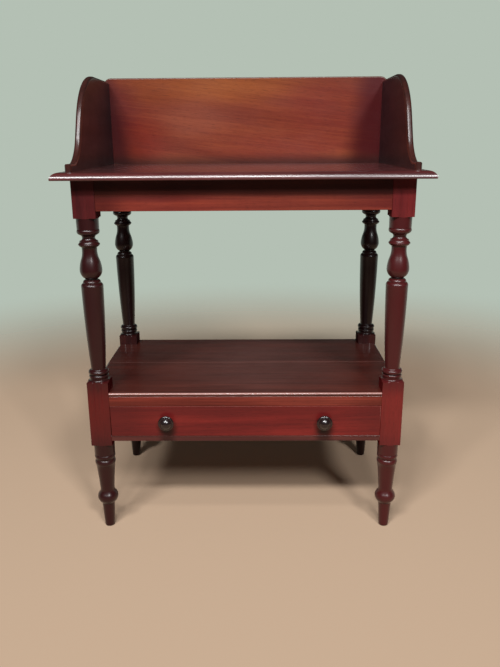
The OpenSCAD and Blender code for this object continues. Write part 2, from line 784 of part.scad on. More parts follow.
module drawer_front()
    color(polished)
        difference() {
            translate([-drawer_x, frame_front, drawer_low])
                cube([2 * drawer_x, drawer_front_t, drawer_high - drawer_low]);
            for (s = [-1, 1]) {
                front_tails(s, fit_gap);
                // The socket is open at the end of the board
                translate([s * cut, 0, 0]) front_tails(s, fit_gap);
                translate([s * knob_spacing / 2, frame_front, knob_z])
                    rotate([90, 0, 0])
                        cylinder(d = spigot_d + 2 * fit_gap, h = 2 * (drawer_front_t + cut), center = true);
            }
            bottom_space(fit_gap);
        }

module drawer_side(s)
    color(plain)
        difference() {
            union() {
                translate([s > 0 ? side_in : -drawer_x, drawer_inner_front, drawer_low])
                    cube([drawer_side_t, drawer_rear - drawer_inner_front, side_high - drawer_low]);
                front_tails(s);
            }
            bottom_space(fit_gap);
            // The sockets for the pins of the back
            difference() {
                translate([s * drawer_x - drawer_side_t - cut, drawer_back_front, back_low - fit_gap])
                    cube([2 * (drawer_side_t + cut), drawer_back_t + cut,
                        back_high - back_low + 2 * fit_gap]);
                back_tails(s);
            }
        }

module drawer_back()
    color(plain)
        difference() {
            translate([-drawer_x, drawer_back_front, back_low])
                cube([2 * drawer_x, drawer_back_t, back_high - back_low]);
            for (s = [-1, 1]) {
                back_tails(s, fit_gap);
                translate([s * cut, 0, 0]) back_tails(s, fit_gap);
            }
        }

module drawer_bottom()
    color(plain)
        translate([-side_in - groove_d, drawer_inner_front - groove_d, bottom_low])
            cube([2 * (side_in + groove_d), drawer_rear - drawer_inner_front + groove_d, drawer_bottom_t]);

// Knobs, turned in one piece with the spigot: dome, rim, neck and foot, in rows as for the
// legs. Their members keep their proportion to a knob of 32 mm.
knob_z = (drawer_low + drawer_high) / 2;
knob_neck_share = 0.25;      // height of the neck, of the height of the knob
knob_unit = knob_d / 32;
knob_rim_r = knob_d / 2;
module knob(s)
    color(dark_knob)
        translate([s * knob_spacing / 2, frame_front, knob_z])
            rotate([90, 0, 0])
                turned_solid([
                    [1.5 * knob_unit, knob_l, 0],
                    [knob_rim_r - 4 * knob_unit, knob_l - 7.3 * knob_unit, 1.6 * knob_unit],
                    [knob_rim_r - 4 * knob_unit, knob_l - 8.1 * knob_unit, 0],
                    [knob_rim_r - 2.8 * knob_unit, knob_l - 8.3 * knob_unit, 0],
                    [knob_rim_r - 1.5 * knob_unit, knob_l - 14 * knob_unit, 2.1 * knob_unit],
                    [knob_neck_d / 2, knob_neck_share * knob_l, -1.2 * knob_unit],
                    [knob_foot_d / 2 - 1.4, 2.6, -0.8],
                    [knob_foot_d / 2 - 0.4, 2.2, 0],
                    [knob_foot_d / 2, 0, 0.4],
                    [spigot_d / 2, 0, 0],
                    [spigot_d / 2, -drawer_front_t - 0.5, 0],
                    [spigot_d / 2 - 1, -drawer_front_t - 1.5, 0]]);

top_board();
gallery_back();
gallery_side(-1);  // gallery_left
gallery_side(1);  // gallery_right
leg(-1, -1);  // leg_front_left
leg(1, -1);  // leg_front_right
leg(-1, 1);  // leg_back_left
leg(1, 1);  // leg_back_right
upper_rail_front();  // upper_front_rail
upper_rail_back();  // upper_back_rail
upper_rail_side(-1);  // upper_left_rail
upper_rail_side(1);  // upper_right_rail
shelf_front_board();
shelf_back_board();
drawer_top_rail();
drawer_bottom_rail();
lower_rail_side(-1);  // lower_left_rail
lower_rail_side(1);  // lower_right_rail
lower_back_rail();
runner(-1);  // left_runner
runner(1);  // right_runner
guide(-1);  // left_guide
guide(1);  // right_guide
kicker(-1);  // left_kicker
kicker(1);  // right_kicker
drawer_stops();
top_glue_blocks();
shelf_glue_blocks();
color(steel) at_pockets() pocket_screw();  // top_screws
color(steel) gallery_screw_set();  // gallery_screws
color(steel) corner_screw_set();  // gallery_corner_screws
drawer_front();
drawer_side(-1);  // drawer_left_side
drawer_side(1);  // drawer_right_side
drawer_back();
drawer_bottom();
knob(-1);  // left_knob
knob(1);  // right_knob
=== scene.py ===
import math

import bmesh
import bpy
from mathutils import Matrix, Vector


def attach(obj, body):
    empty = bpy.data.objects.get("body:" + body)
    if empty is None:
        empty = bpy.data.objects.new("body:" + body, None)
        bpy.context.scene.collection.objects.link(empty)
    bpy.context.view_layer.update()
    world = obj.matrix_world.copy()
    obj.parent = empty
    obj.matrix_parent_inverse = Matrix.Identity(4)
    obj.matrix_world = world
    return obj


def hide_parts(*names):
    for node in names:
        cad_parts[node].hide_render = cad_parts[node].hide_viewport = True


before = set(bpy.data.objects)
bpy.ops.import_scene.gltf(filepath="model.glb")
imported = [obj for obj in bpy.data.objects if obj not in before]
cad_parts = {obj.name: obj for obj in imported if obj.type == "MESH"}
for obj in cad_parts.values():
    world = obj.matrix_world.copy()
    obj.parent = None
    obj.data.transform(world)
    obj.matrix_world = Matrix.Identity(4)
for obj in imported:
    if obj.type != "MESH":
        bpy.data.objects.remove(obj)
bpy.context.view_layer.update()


# The camera
#
# It stands where the photograph was taken, a long step in front of the washstand, with the
# lens a hand above the top board and tilted down.
CAMERA_PLACE = (0.0256, -1.4019, 0.8010)
TILT_DOWN = 0.288
TURN = -0.012
ROLL = -0.0069
FOCAL_PX = 657
PHOTO_HEIGHT_PX = 667

ahead = Vector((math.sin(TURN) * math.cos(TILT_DOWN), math.cos(TURN) * math.cos(TILT_DOWN),
                -math.sin(TILT_DOWN)))
level_right = Vector((math.cos(TURN), -math.sin(TURN), 0))
level_up = level_right.cross(ahead)
camera_right = math.cos(ROLL) * level_right + math.sin(ROLL) * level_up
camera_up = math.cos(ROLL) * level_up - math.sin(ROLL) * level_right


def new_object(name, data):
    """An object of the data, in the scene."""
    made = bpy.data.objects.new(name, data)
    bpy.context.collection.objects.link(made)
    return made


camera = new_object("camera", bpy.data.cameras.new("camera"))
camera.data.sensor_width = 36
camera.data.lens = FOCAL_PX / PHOTO_HEIGHT_PX * camera.data.sensor_width
camera.matrix_world = Matrix([[camera_right[i], camera_up[i], -ahead[i], CAMERA_PLACE[i]]
                              for i in range(3)] + [[0, 0, 0, 1]])
bpy.context.scene.camera = camera
bpy.context.scene.view_settings.view_transform = "Standard"


# The studio: floor, backdrop and lamps
#
# A plain pale floor fades into a plain pale backdrop, with a dark ceiling over it. Five soft
# lamps hang in a row far in front, well above the camera: a wide one far out at each side and
# three between them. A weak long strip hangs nearer to the piece.
FLOOR_COLOUR = "#bda48c"
BACKDROP_COLOUR = "#b4c0b4"
CEILING_COLOUR = "#2c2e2c"
FILL_COLOUR = "#f2f4f3"
FLOOR_RADIUS = 2.4
FLOOR_SOLID_RADIUS = 0.9
CEILING_LOW, CEILING_FULL = 0.04, 0.20      # how steeply up a way leads where the ceiling is
ROOM_EDGE, ROOM_FULL = 0.35, -0.25          # how far back a way leads where the dark room is
FILL_FRONT, FILL_BEHIND = 0.04, 0.24
SOFT = {"interpolation_type": "SMOOTHSTEP"}


def linear(code):
    """The linear colour of an sRGB hex code, as a shader's socket takes it."""
    parts = [int(code[i:i + 2], 16) / 255 for i in (1, 3, 5)]
    return [p / 12.92 if p <= 0.04045 else ((p + 0.055) / 1.055) ** 2.4 for p in parts] + [1.0]


def add(tree, kind, settings=None, **sockets):
    """Adds a node with its settings. A socket is given by its name or identifier, with a
    double underscore for a space, and takes a value or a link."""
    made = tree.nodes.new(kind)
    for name, value in (settings or {}).items():
        setattr(made, name, value)
    for name, value in sockets.items():
        name = name.replace("__", " ")
        socket = next((s for s in made.inputs if s.identifier == name), None) or made.inputs[name]
        if isinstance(value, bpy.types.NodeSocket):
            tree.links.new(value, socket)
        else:
            socket.default_value = value
    return made


def empty_material(name):
    """A new material whose node tree holds nothing yet."""
    material = bpy.data.materials.new(name)
    material.use_nodes = True
    material.node_tree.nodes.clear()
    return material


painted_floor = empty_material("pale_floor_paint")
tree = painted_floor.node_tree
place = add(tree, "ShaderNodeTexCoord").outputs["Object"]
reach = add(tree, "ShaderNodeVectorMath", {"operation": "LENGTH"}, Vector=place).outputs["Value"]
fade = add(tree, "ShaderNodeMapRange", SOFT, Value=reach, From__Min=FLOOR_SOLID_RADIUS,
           From__Max=FLOOR_RADIUS)
paint = add(tree, "ShaderNodeBsdfDiffuse", Color=linear(FLOOR_COLOUR), Roughness=0.6)
clear = add(tree, "ShaderNodeBsdfTransparent")
blend = add(tree, "ShaderNodeMixShader", Fac=fade.outputs["Result"], Shader=paint.outputs[0],
            Shader_001=clear.outputs[0])
add(tree, "ShaderNodeOutputMaterial", Surface=blend.outputs[0])

disc = bmesh.new()
bmesh.ops.create_circle(disc, cap_ends=True, segments=96, radius=FLOOR_RADIUS)
floor = new_object("floor", bpy.data.meshes.new("floor"))
disc.to_mesh(floor.data)
disc.free()
floor.data.materials.append(painted_floor)

# The backdrop is the world: pale where the camera or glass sees it, and pale behind the piece
# where its polish does, under a dark ceiling and before a dark room. As the light that fills
# the shadows it is dimmer, and most of that comes from behind.
world = bpy.data.worlds.new("backdrop")
bpy.context.scene.world = world
world.use_nodes = True
world.node_tree.nodes.clear()
tree = world.node_tree
way = add(tree, "ShaderNodeSeparateXYZ",
          Vector=add(tree, "ShaderNodeTexCoord").outputs["Generated"]).outputs
rays = add(tree, "ShaderNodeLightPath").outputs
seen = rays["Is Camera Ray"]
for kind in ("Is Glossy Ray", "Is Transmission Ray"):
    seen = add(tree, "ShaderNodeMath", {"operation": "MAXIMUM"}, Value=seen,
               Value_001=rays[kind]).outputs[0]
high = add(tree, "ShaderNodeMapRange", SOFT, Value=way["Z"], From__Min=CEILING_LOW,
           From__Max=CEILING_FULL).outputs["Result"]
in_front = add(tree, "ShaderNodeMapRange", SOFT, Value=way["Y"], From__Min=ROOM_EDGE,
               From__Max=ROOM_FULL).outputs["Result"]
dark_way = add(tree, "ShaderNodeMath", {"operation": "MAXIMUM"}, Value=high,
               Value_001=in_front).outputs[0]
for_polish = add(tree, "ShaderNodeMath", {"operation": "MULTIPLY"}, Value=dark_way,
                 Value_001=rays["Is Glossy Ray"]).outputs[0]
room = add(tree, "ShaderNodeMix", {"data_type": "RGBA"}, Factor_Float=for_polish,
           A_Color=linear(BACKDROP_COLOUR), B_Color=linear(CEILING_COLOUR)).outputs[2]
behind = add(tree, "ShaderNodeMapRange", SOFT, Value=way["Y"], From__Min=0.1, From__Max=0.9,
             To__Min=FILL_FRONT, To__Max=FILL_BEHIND).outputs["Result"]
fill = add(tree, "ShaderNodeBackground", Color=linear(FILL_COLOUR), Strength=behind).outputs[0]
pale = add(tree, "ShaderNodeBackground", Color=room, Strength=1.0).outputs[0]
either = add(tree, "ShaderNodeMixShader", Fac=seen, Shader=fill, Shader_001=pale)
add(tree, "ShaderNodeOutputWorld", Surface=either.outputs[0])

# Name, place, height of the aim, width, height and watts of each lamp
LAMPS = [("left_lamp", (-1.96, -3.45, 3.98), 0.5, 0.82, 0.69, 80),
         ("right_lamp", (1.76, -4.0, 3.42), 0.5, 0.82, 0.69, 92),
         ("middle_lamp_1", (-1.1, -3.45, 3.98), 0.5, 0.49, 0.39, 40),
         ("middle_lamp_2", (-0.27, -3.45, 3.98), 0.5, 0.49, 0.39, 40),
         ("middle_lamp_3", (0.29, -3.45, 3.98), 0.5, 0.49, 0.39, 40),
         ("high_strip", (0, -1.9, 3.9), 0.6, 1.6, 0.3, 22)]
for name, spot, aim_z, width, height, watts in LAMPS:
    lamp = bpy.data.lights.new(name, "AREA")
    lamp.shape, lamp.size, lamp.size_y, lamp.energy = "RECTANGLE", width, height, watts
    holder = new_object(name, lamp)
    holder.location = spot
    aim = Vector((0, 0, aim_z)) - Vector(spot)
    holder.rotation_euler = aim.to_track_quat("-Z", "Y").to_euler()
    holder.visible_camera = False


# The four turned legs
#
# Each is turned from one square of red mahogany 43 mm thick. Two blocks stay square, where
# the rails are mortised in, and the lathe has taken their ends down a little. The turnings
# are French polished, and their quirks are darkened with wax and with painted shade.
def box_of(node):
    """The low corner, the high corner and the middle of a CAD node, to a micrometre."""
    places = [v.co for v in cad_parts[node].data.vertices]
    low, high = [[round(pick(p[i] for p in places), 6) for i in range(3)] for pick in (min, max)]
    return low, high, [round((a + b) / 2, 6) for a, b in zip(low, high)]


low, high, middle = box_of("leg_front_right")
LEG_X, LEG_FRONT_Y, LEG_TOP = middle[0], middle[1], high[2]
LEG_BACK_Y = box_of("leg_back_right")[2][1]
LEG_SQUARE = 0.043
BLOCK_ARRIS = 1.39           # reach of a worn corner of the block, in half squares
BLOCK_SHOULDER = 1.03        # reach of the turned step at its ends
FOOT_TOP = 0.196
LOWER_BLOCK_TOP = 0.335
UPPER_BLOCK_LOW = 0.6595
LEG_FACETS = 160             # a multiple of 8, so that the corners fall on facets

# Radius, height and bulge of the arc that leads there, all in millimetres, from the top
# down. The heights of a list count from the place in its name.
SHAFT_FROM_UPPER_BLOCK = [
    (21.3, 0, 0), (20.9, 20.5, 0), (20.3, 21, 0), (18.5, 30, 2.2), (17.1, 31, 0),
    (17.3, 42.7, -4.95), (20.2, 48.4, -0.6), (19.7, 50.9, 0.7), (15, 54.4, 0.8), (14.6, 55.9, 0),
    (16.5, 76, -1.1), (21.5, 99.5, 1), (16, 113, 1.3), (12.25, 116.8, -0.5), (12.25, 117.6, 0),
    (13.05, 118.2, 0), (17.3, 124, 1.3), (17.1, 124.8, 0), (21.25, 132.5, 1.6)]
SHAFT_ABOVE_LOWER_BLOCK = [
    (14.5, 25.5, 1.25), (15.1, 23, -0.2), (15.6, 22.5, 0), (16.9, 12.8, 4.1), (18.3, 12.2, 0),
    (19.1, 7, 0.9), (18.4, 6, 0), (18.5, 3.5, 0), (21.1, 0, -0.6)]
FOOT_FROM_LOWER_BLOCK = [
    (21.3, 0, 0), (20.9, 25, 0), (20.1, 25.5, 0), (19.9, 33.5, 1.3), (19.1, 34.5, 0),
    (19.1, 37, 0), (19.5, 48, 1.9)]
FOOT_ABOVE_FLOOR = [
    (14.7, 90.5, -0.3), (15.1, 85, -0.2), (18.4, 79.62, 0), (21.5, 70.05, 0.8), (14, 57, 1.7),
    (13.2, 53.5, -0.3), (10.3, 3.5, 0), (7.5, 0, 1)]


def turned_points(rows, degrees=5):
    """Points of a turned outline in metres, from rows of radius, height and bulge in
    millimetres. A positive bulge rises to the left of the way, as it does for the CAD."""
    points = [Vector((rows[0][0], rows[0][1]))]
    for radius, height, bulge in rows[1:]:
        a, b = points[-1], Vector((radius, height))
        if bulge == 0:
            points.append(b)
            continue
        chord = (b - a).length
        half = 2 * math.atan(2 * bulge / chord)
        bend = chord / 2 / math.sin(half)
        along = (b - a) / chord
        out = Vector((-along.y, along.x))
        steps = max(6, round(abs(math.degrees(half)) * 2 / degrees))
        for i in range(1, steps + 1):
            angle = half * (2 * i / steps - 1)
            points.append(a + (chord / 2 + bend * math.sin(angle)) * along
                          + bend * (math.cos(angle) - math.cos(half)) * out)
    return [p / 1000 for p in points]


def quirk_wax(points, span=0.004, full=0.0022):
    """How deep each point of a turned outline lies under its neighbours, from 0 to 1. Wax and
    dust gather there, and it sets the painted shade of the quirks."""
    wax_and_shade = []
    for p in points:
        above = [q.x for q in points if 0 < q.y - p.y < span]
        below = [q.x for q in points if 0 < p.y - q.y < span]
        rise = min(max(above, default=p.x), max(below, default=p.x)) - p.x
        wax_and_shade.append(min(1.0, max(0.0, rise / full)))
    return wax_and_shade


def new_tree(name, made, **inputs):
    """An empty Geometry Nodes tree that makes one thing from its named inputs."""
    group = bpy.data.node_groups.new(name, "GeometryNodeTree")
    for label, kind in inputs.items():
        group.interface.new_socket(label.replace("_", " "), in_out="INPUT",
                                   socket_type="NodeSocket" + kind)
    group.interface.new_socket(made, in_out="OUTPUT", socket_type="NodeSocketGeometry")
    return group, group.nodes.new("NodeGroupInput").outputs


def ended(group, shape, finish):
    """The tree, ended with what it makes as real geometry in its finish."""
    real = add(group, "GeometryNodeRealizeInstances", Geometry=shape)
    done = add(group, "GeometryNodeSetMaterial", Geometry=real.outputs[0], Material=finish)
    group.links.new(done.outputs[0], group.nodes.new("NodeGroupOutput").inputs[0])
    return group


def turned_work_tree():
    """The lathe as Geometry Nodes: a line of points with a radius each becomes a turned solid,
    and what would reach past the square that it is turned from is cut back to it."""
    group, given = new_tree("turned_work", "Turned piece", Outline="Geometry",
                            Half_square="Float", Facets="Int", Finish="Material")
    line = add(group, "GeometryNodeMeshToCurve", Mesh=given["Outline"])
    radius = add(group, "GeometryNodeInputNamedAttribute", {"data_type": "FLOAT"},
                 Name="turned_radius")
    circle = add(group, "GeometryNodeCurvePrimitiveCircle", Resolution=given["Facets"], Radius=1.0)
    turned = add(group, "GeometryNodeCurveToMesh", Curve=line.outputs[0], Fill__Caps=True,
                 Profile__Curve=circle.outputs[0], Scale=radius.outputs["Attribute"])
    here = add(group, "GeometryNodeInputPosition").outputs[0]
    split = add(group, "ShaderNodeSeparateXYZ", Vector=here).outputs
    across, deep = [add(group, "ShaderNodeMath", {"operation": "ABSOLUTE"},
                        Value=split[axis]).outputs[0] for axis in "XY"]
    widest = add(group, "ShaderNodeMath", {"operation": "MAXIMUM"}, Value=across, Value_001=deep)
    ratio = add(group, "ShaderNodeMath", {"operation": "DIVIDE"}, Value=given["Half square"],
                Value_001=widest.outputs[0])
    kept = add(group, "ShaderNodeMath", {"operation": "MINIMUM"}, Value=ratio.outputs[0],
               Value_001=1.0).outputs[0]
    scale = add(group, "ShaderNodeCombineXYZ", X=kept, Y=kept, Z=1.0)
    cut_back = add(group, "ShaderNodeVectorMath", {"operation": "MULTIPLY"}, Vector=here,
                   Vector_001=scale.outputs[0])
    square = add(group, "GeometryNodeSetPosition", Geometry=turned.outputs[0],
                 Position=cut_back.outputs[0])
    smooth = add(group, "GeometryNodeSetShadeSmooth", Geometry=square.outputs[0])
    return ended(group, smooth.outputs[0], given["Finish"])


turned_work = turned_work_tree()


def make_plain(piece):
    """What the modifiers of a piece make becomes its plain mesh, and they are removed."""
    bpy.context.view_layer.update()
    graph = bpy.context.evaluated_depsgraph_get()
    plain = bpy.data.meshes.new_from_object(piece.evaluated_get(graph), depsgraph=graph)
    piece.modifiers.clear()
    piece.data = plain
    plain.name = piece.name


def made_by(group, name, mesh, **inputs):
    """A plain mesh object of what a Geometry Nodes tree makes from a mesh and its inputs."""
    piece = new_object(name, mesh)
    modifier = piece.modifiers.new(name, "NODES")
    modifier.node_group = group
    sockets = {s.name: s.identifier for s in group.interface.items_tree
               if s.item_type == "SOCKET" and s.in_out == "INPUT"}
    for label, value in inputs.items():
        modifier[sockets[label.replace("_", " ")]] = value
    make_plain(piece)
    return piece


def tidy_shading(piece, degrees=32):
    """Turns every face outwards and keeps the arrises crisp."""
    work = bmesh.new()
    work.from_mesh(piece.data)
    bmesh.ops.remove_doubles(work, verts=work.verts, dist=2e-6)
    bmesh.ops.recalc_face_normals(work, faces=work.faces)
    work.to_mesh(piece.data)
    work.free()
    piece.data.shade_smooth()
    piece.data.set_sharp_from_angle(angle=math.radians(degrees))


def turned_piece(name, points, finish, half_square, facets):
    """A turned piece on the Z axis from the points of its outline."""
    line = bpy.data.meshes.new(name + "_outline")
    heights = []
    for p in points:      # a step in the outline still needs a length for the lathe to follow
        heights.append(p.y if not heights or p.y < heights[-1] - 1e-5 else heights[-1] - 2e-5)
    line.from_pydata([(0, 0, z) for z in heights], [(i, i + 1) for i in range(len(points) - 1)], [])
    on_lathe = [1.0 if p.x < half_square * 1.01 else 0.0 for p in points]
    for label, values in (("turned_radius", [p.x for p in points]),
                          ("quirk_wax", quirk_wax(points)), ("turned_part", on_lathe)):
        line.attributes.new(label, "FLOAT", "POINT").data.foreach_set("value", values)
    piece = made_by(turned_work, name, line, Half_square=half_square, Facets=facets, Finish=finish)
    tidy_shading(piece)
    return piece


def laid_over(tree, colour, code, *masks):
    """The colour with another laid over it, as far as its masks let through. A mask is a value,
    the two levels of it between which the mask changes softly, and its share at each."""
    shares = [add(tree, "ShaderNodeMapRange", SOFT, Value=value, From__Min=low, From__Max=high,
                  To__Min=at_low, To__Max=at_high).outputs["Result"]
              for value, low, high, at_low, at_high in masks]
    share = shares[0]
    for other in shares[1:]:
        share = add(tree, "ShaderNodeMath", {"operation": "MULTIPLY"}, Value=share,
                    Value_001=other).outputs[0]
    return add(tree, "ShaderNodeMix", {"data_type": "RGBA"}, Factor_Float=share, A_Color=colour,
               B_Color=linear(code)).outputs[2]


PORE_COLOUR = "#2a1210"
DUST_AND_SHADE_COLOUR = "#2c1512"
WAX_AND_SHADE_COLOUR = "#120706"


def mahogany(name, grain, tones, slant=(0, 0, 0), figure=1.0, streaks=1.0, fade=(), end_shadows=(),
             turned=None, worn="#7c3a28", arris_highlight=None, nose_highlight=None, rounded=None, shine=0.3,
             polish=1.0, gloss=0.26, film=1.5, under=0.2, dirt_and_shade=None):
    """Mahogany under French polish, which is many thin rubbed coats of shellac: a clear film
    over straight grain with short dark pores and faint lighter ribbons. grain is the axis that
    the board was cut along, and tones are its deep, middle and light colours. figure is how
    softly the ribbons run into each other, streaks how strong the growth lines are."""
    material = empty_material(name)
    tree = material.node_tree
    place = add(tree, "ShaderNodeTexCoord").outputs["Object"]
    along_grain = add(tree, "ShaderNodeMapping", Vector=place, Rotation=slant).outputs[0]

    def stretched(share):
        """Coordinates pulled long in the direction of the grain."""
        scale = [share if axis == grain else 1.0 for axis in "XYZ"]
        return add(tree, "ShaderNodeMapping", Vector=along_grain, Scale=scale).outputs[0]

    # A noise has forms about one over its scale wide, in metres: ribbons 20 to 60 mm, growth
    # lines 3 to 5 mm, and pores 0.6 mm wide and 12 mm long, which is twice their real size so
    # that they show
    ribbon = add(tree, "ShaderNodeTexNoise", Vector=stretched(0.07), Scale=26, Detail=4,
                 Roughness=0.6, Distortion=0.35).outputs["Fac"]
    growth = add(tree, "ShaderNodeTexNoise", Vector=stretched(0.02), Scale=230, Detail=4,
                 Roughness=0.65).outputs["Fac"]
    pores = add(tree, "ShaderNodeTexNoise", Vector=stretched(0.05), Scale=1500, Detail=1,
                Roughness=0.4).outputs["Fac"]
    cloud = add(tree, "ShaderNodeTexNoise", Vector=place, Scale=7, Detail=3).outputs["Fac"]

    deep, middle, light = tones
    ramp = add(tree, "ShaderNodeValToRGB", Fac=ribbon)
    ramp.color_ramp.interpolation = "B_SPLINE"
    for stop, code, way in zip(ramp.color_ramp.elements, (deep, light), (-1, 1)):
        stop.position = 0.5 + way * 0.2 * figure
        stop.color = linear(code)
    ramp.color_ramp.elements.new(0.5).color = linear(middle)
    colour = ramp.outputs["Color"]

    for code, centre, reach, strength in fade:
        # a patch: sun-bleached, redder stain, darker polish, painted light, shade or shadow
        offset = add(tree, "ShaderNodeVectorMath", {"operation": "SUBTRACT"}, Vector=place,
                     Vector_001=centre)
        shaped = add(tree, "ShaderNodeVectorMath", {"operation": "MULTIPLY"},
                     Vector=offset.outputs[0], Vector_001=[1 / r for r in reach])
        away = add(tree, "ShaderNodeVectorMath", {"operation": "LENGTH"}, Vector=shaped.outputs[0])
        colour = laid_over(tree, colour, code, (away.outputs["Value"], 1.0, 0.2, 0, strength))
    colour = laid_over(tree, colour, deep, (cloud, 0.35, 0.7, 0, 0.3))
    colour = laid_over(tree, colour, deep, (growth, 0.42, 0.64, 0, 0.35 * streaks))
    colour = laid_over(tree, colour, light, (growth, 0.50, 0.36, 0, 0.22 * streaks))
    colour = laid_over(tree, colour, PORE_COLOUR, (pores, 0.60, 0.68, 0, 0.3))
    spot = add(tree, "ShaderNodeSeparateXYZ", Vector=place).outputs
    for code, lean, light_x, dark_x, strength in end_shadows:
        # a painted shadow of the neighbouring board, slanting across an end of this one
        leaning = add(tree, "ShaderNodeMath", {"operation": "MULTIPLY_ADD"}, Value=spot["Z"],
                      Value_001=lean, Value_002=spot["X"]).outputs[0]
        colour = laid_over(tree, colour, code, (leaning, light_x, dark_x, 0, strength))
    if dirt_and_shade:      # darker from the first height to the second: painted shade under and along the top board, a dark joint at the drawer front
        full, none = dirt_and_shade
        colour = laid_over(tree, colour, DUST_AND_SHADE_COLOUR, (spot["Z"], none, full, 0, 0.75))
    if turned:    # turned wood takes more stain than a planed face; its quirks get wax and painted shade
        lathe = add(tree, "ShaderNodeAttribute", {"attribute_name": "turned_part"}).outputs["Fac"]
        colour = laid_over(tree, colour, turned, (lathe, 0, 1, 0, 0.85))
        # the quirks darkened: dark wax and painted shade
        wax_and_shade = add(tree, "ShaderNodeAttribute", {"attribute_name": "quirk_wax"}).outputs["Fac"]
        colour = laid_over(tree, colour, WAX_AND_SHADE_COLOUR, (wax_and_shade, 0.1, 0.9, 0, 0.9))
    else:         # arrises rubbed thin over the years
        eased = add(tree, "ShaderNodeBevel", {"samples": 4}, Radius=0.0016).outputs[0]
        facing = add(tree, "ShaderNodeVectorMath", {"operation": "DOT_PRODUCT"}, Vector=eased,
                     Vector_001=add(tree, "ShaderNodeNewGeometry").outputs["Normal"])
        rubbed = (facing.outputs["Value"], 0.985, 0.86, 0, 1)
        colour = laid_over(tree, colour, worn, rubbed, (cloud, 0.40, 0.62, 0.1, 0.75))
        if arris_highlight:   # a painted highlight on the upper arrises, where the light catches them
            level = add(tree, "ShaderNodeSeparateXYZ", Vector=eased).outputs["Z"]
            colour = laid_over(tree, colour, arris_highlight, rubbed, (level, 0.15, 0.45, 0, 1))
    if nose_highlight:      # a painted highlight on the upper front of a rounded front edge, where light catches it
        turn = add(tree, "ShaderNodeSeparateXYZ",
                   Vector=add(tree, "ShaderNodeNewGeometry").outputs["Normal"]).outputs
        colour = laid_over(tree, colour, nose_highlight, (turn["Y"], -0.15, -0.45, 0, 0.9),
                           (turn["Z"], 0.1, 0.5, 0, 1))
    if rounded:   # the rounded edge of a board, where the stain has worn
        edge = add(tree, "ShaderNodeAttribute", {"attribute_name": "rounded_edge"}).outputs["Fac"]
        colour = laid_over(tree, colour, rounded, (edge, 0.1, 0.9, 0, 1))

    smears = add(tree, "ShaderNodeTexNoise", Vector=stretched(0.4), Scale=22, Detail=4,
                 Roughness=0.6).outputs["Fac"]
    rough = add(tree, "ShaderNodeMapRange", SOFT, Value=smears, From__Min=0.3, From__Max=0.75,
                To__Min=shine, To__Max=shine + 0.16)
    height = add(tree, "ShaderNodeMath", {"operation": "MULTIPLY_ADD"}, Value=pores,
                 Value_001=-0.6, Value_002=growth).outputs[0]
    # the film fills the grain, so it is nearly smooth over it
    grain_bump = add(tree, "ShaderNodeBump", Strength=0.2, Distance=0.00014, Height=height)
    film_bump = add(tree, "ShaderNodeBump", Strength=0.04, Distance=0.00014, Height=height)
    wood = add(tree, "ShaderNodeBsdfPrincipled", Base__Color=colour,
               Roughness=rough.outputs["Result"], Normal=grain_bump.outputs[0],
               Coat__Normal=film_bump.outputs[0], Specular__IOR__Level=under,
               Coat__Weight=polish, Coat__Roughness=gloss, Coat__IOR=film)
    add(tree, "ShaderNodeOutputMaterial", Surface=wood.outputs[0])
    return material


def patches(y, base, *rows):
    """Patches of an upright face at y. A row is a colour, the patch's place across and over
    the base, its reach across and up, and its strength."""
    return [(code, (x, y, base + up), (wide, 0.1, high), strength)
            for code, x, up, wide, high, strength in rows]


def lower_block_fade(x, red, red_z, dark, foot_share):
    """The lower block of a front leg: redder in its middle, darker towards its two ends."""
    return patches(LEG_FRONT_Y, 0, (red, x, red_z, 0.1, 0.12, 0.8),
                   (dark, x, FOOT_TOP - 0.004, 0.1, 0.036, foot_share),
                   (dark, x, LOWER_BLOCK_TOP + 0.002, 0.1, 0.04, 0.7))


# The legs are lit and shaded copies of one mahogany: the front right is painted lighter, the
# front left darker, and the legs at the back nearly black with painted shade. The faces that
# no cloth reached are dull.
LEG_FINISHES_LIT_AND_SHADED = {
    "front_left": dict(tones=("#3f1315", "#52191b", "#63201e"), turned="#2a0d0e", streaks=0.4,
                       polish=0.75, gloss=0.29,
                       fade=lower_block_fade(-LEG_X, "#661512", 0.275, "#3c0f10", 0.5)),
    "front_right": dict(tones=("#5a1a1b", "#742224", "#882d29"), turned="#461617", streaks=0.4,
                        polish=0.8, gloss=0.29,
                        fade=lower_block_fade(LEG_X, "#832520", 0.270, "#4c1618", 0.3)),
    "back": dict(tones=("#2c0f0f", "#3a1413", "#481a16"), turned="#170809", polish=0.6,
                 gloss=0.24)}
leg_finish_lit_and_shaded = {}
for end, look in LEG_FINISHES_LIT_AND_SHADED.items():
    unrubbed = dict(look, polish=0.05, gloss=0.5, under=0.0)
    leg_finish_lit_and_shaded[end] = (mahogany(f"leg_mahogany_{end}", "Z", **look),
                       mahogany(f"unrubbed_leg_mahogany_{end}", "Z", **unrubbed))

half_mm = LEG_SQUARE * 500
arris, shoulder = half_mm * BLOCK_ARRIS, half_mm * BLOCK_SHOULDER
upper_mm, lower_mm, foot_mm = UPPER_BLOCK_LOW * 1000, LOWER_BLOCK_TOP * 1000, FOOT_TOP * 1000
leg_rows = (
    [(arris, LEG_TOP * 1000, 0), (arris, upper_mm + 1, 0), (shoulder, upper_mm, 0)]
    + [(r, upper_mm - down, bulge) for r, down, bulge in SHAFT_FROM_UPPER_BLOCK]
    + [(r, lower_mm + up, bulge) for r, up, bulge in SHAFT_ABOVE_LOWER_BLOCK]
    + [(shoulder, lower_mm, 0), (arris, lower_mm - 1.5, 0), (arris, foot_mm + 1, 0),
       (shoulder, foot_mm, 0)]
    + [(r, foot_mm - down, bulge) for r, down, bulge in FOOT_FROM_LOWER_BLOCK]
    + [(r, up, bulge) for r, up, bulge in FOOT_ABOVE_FLOOR])
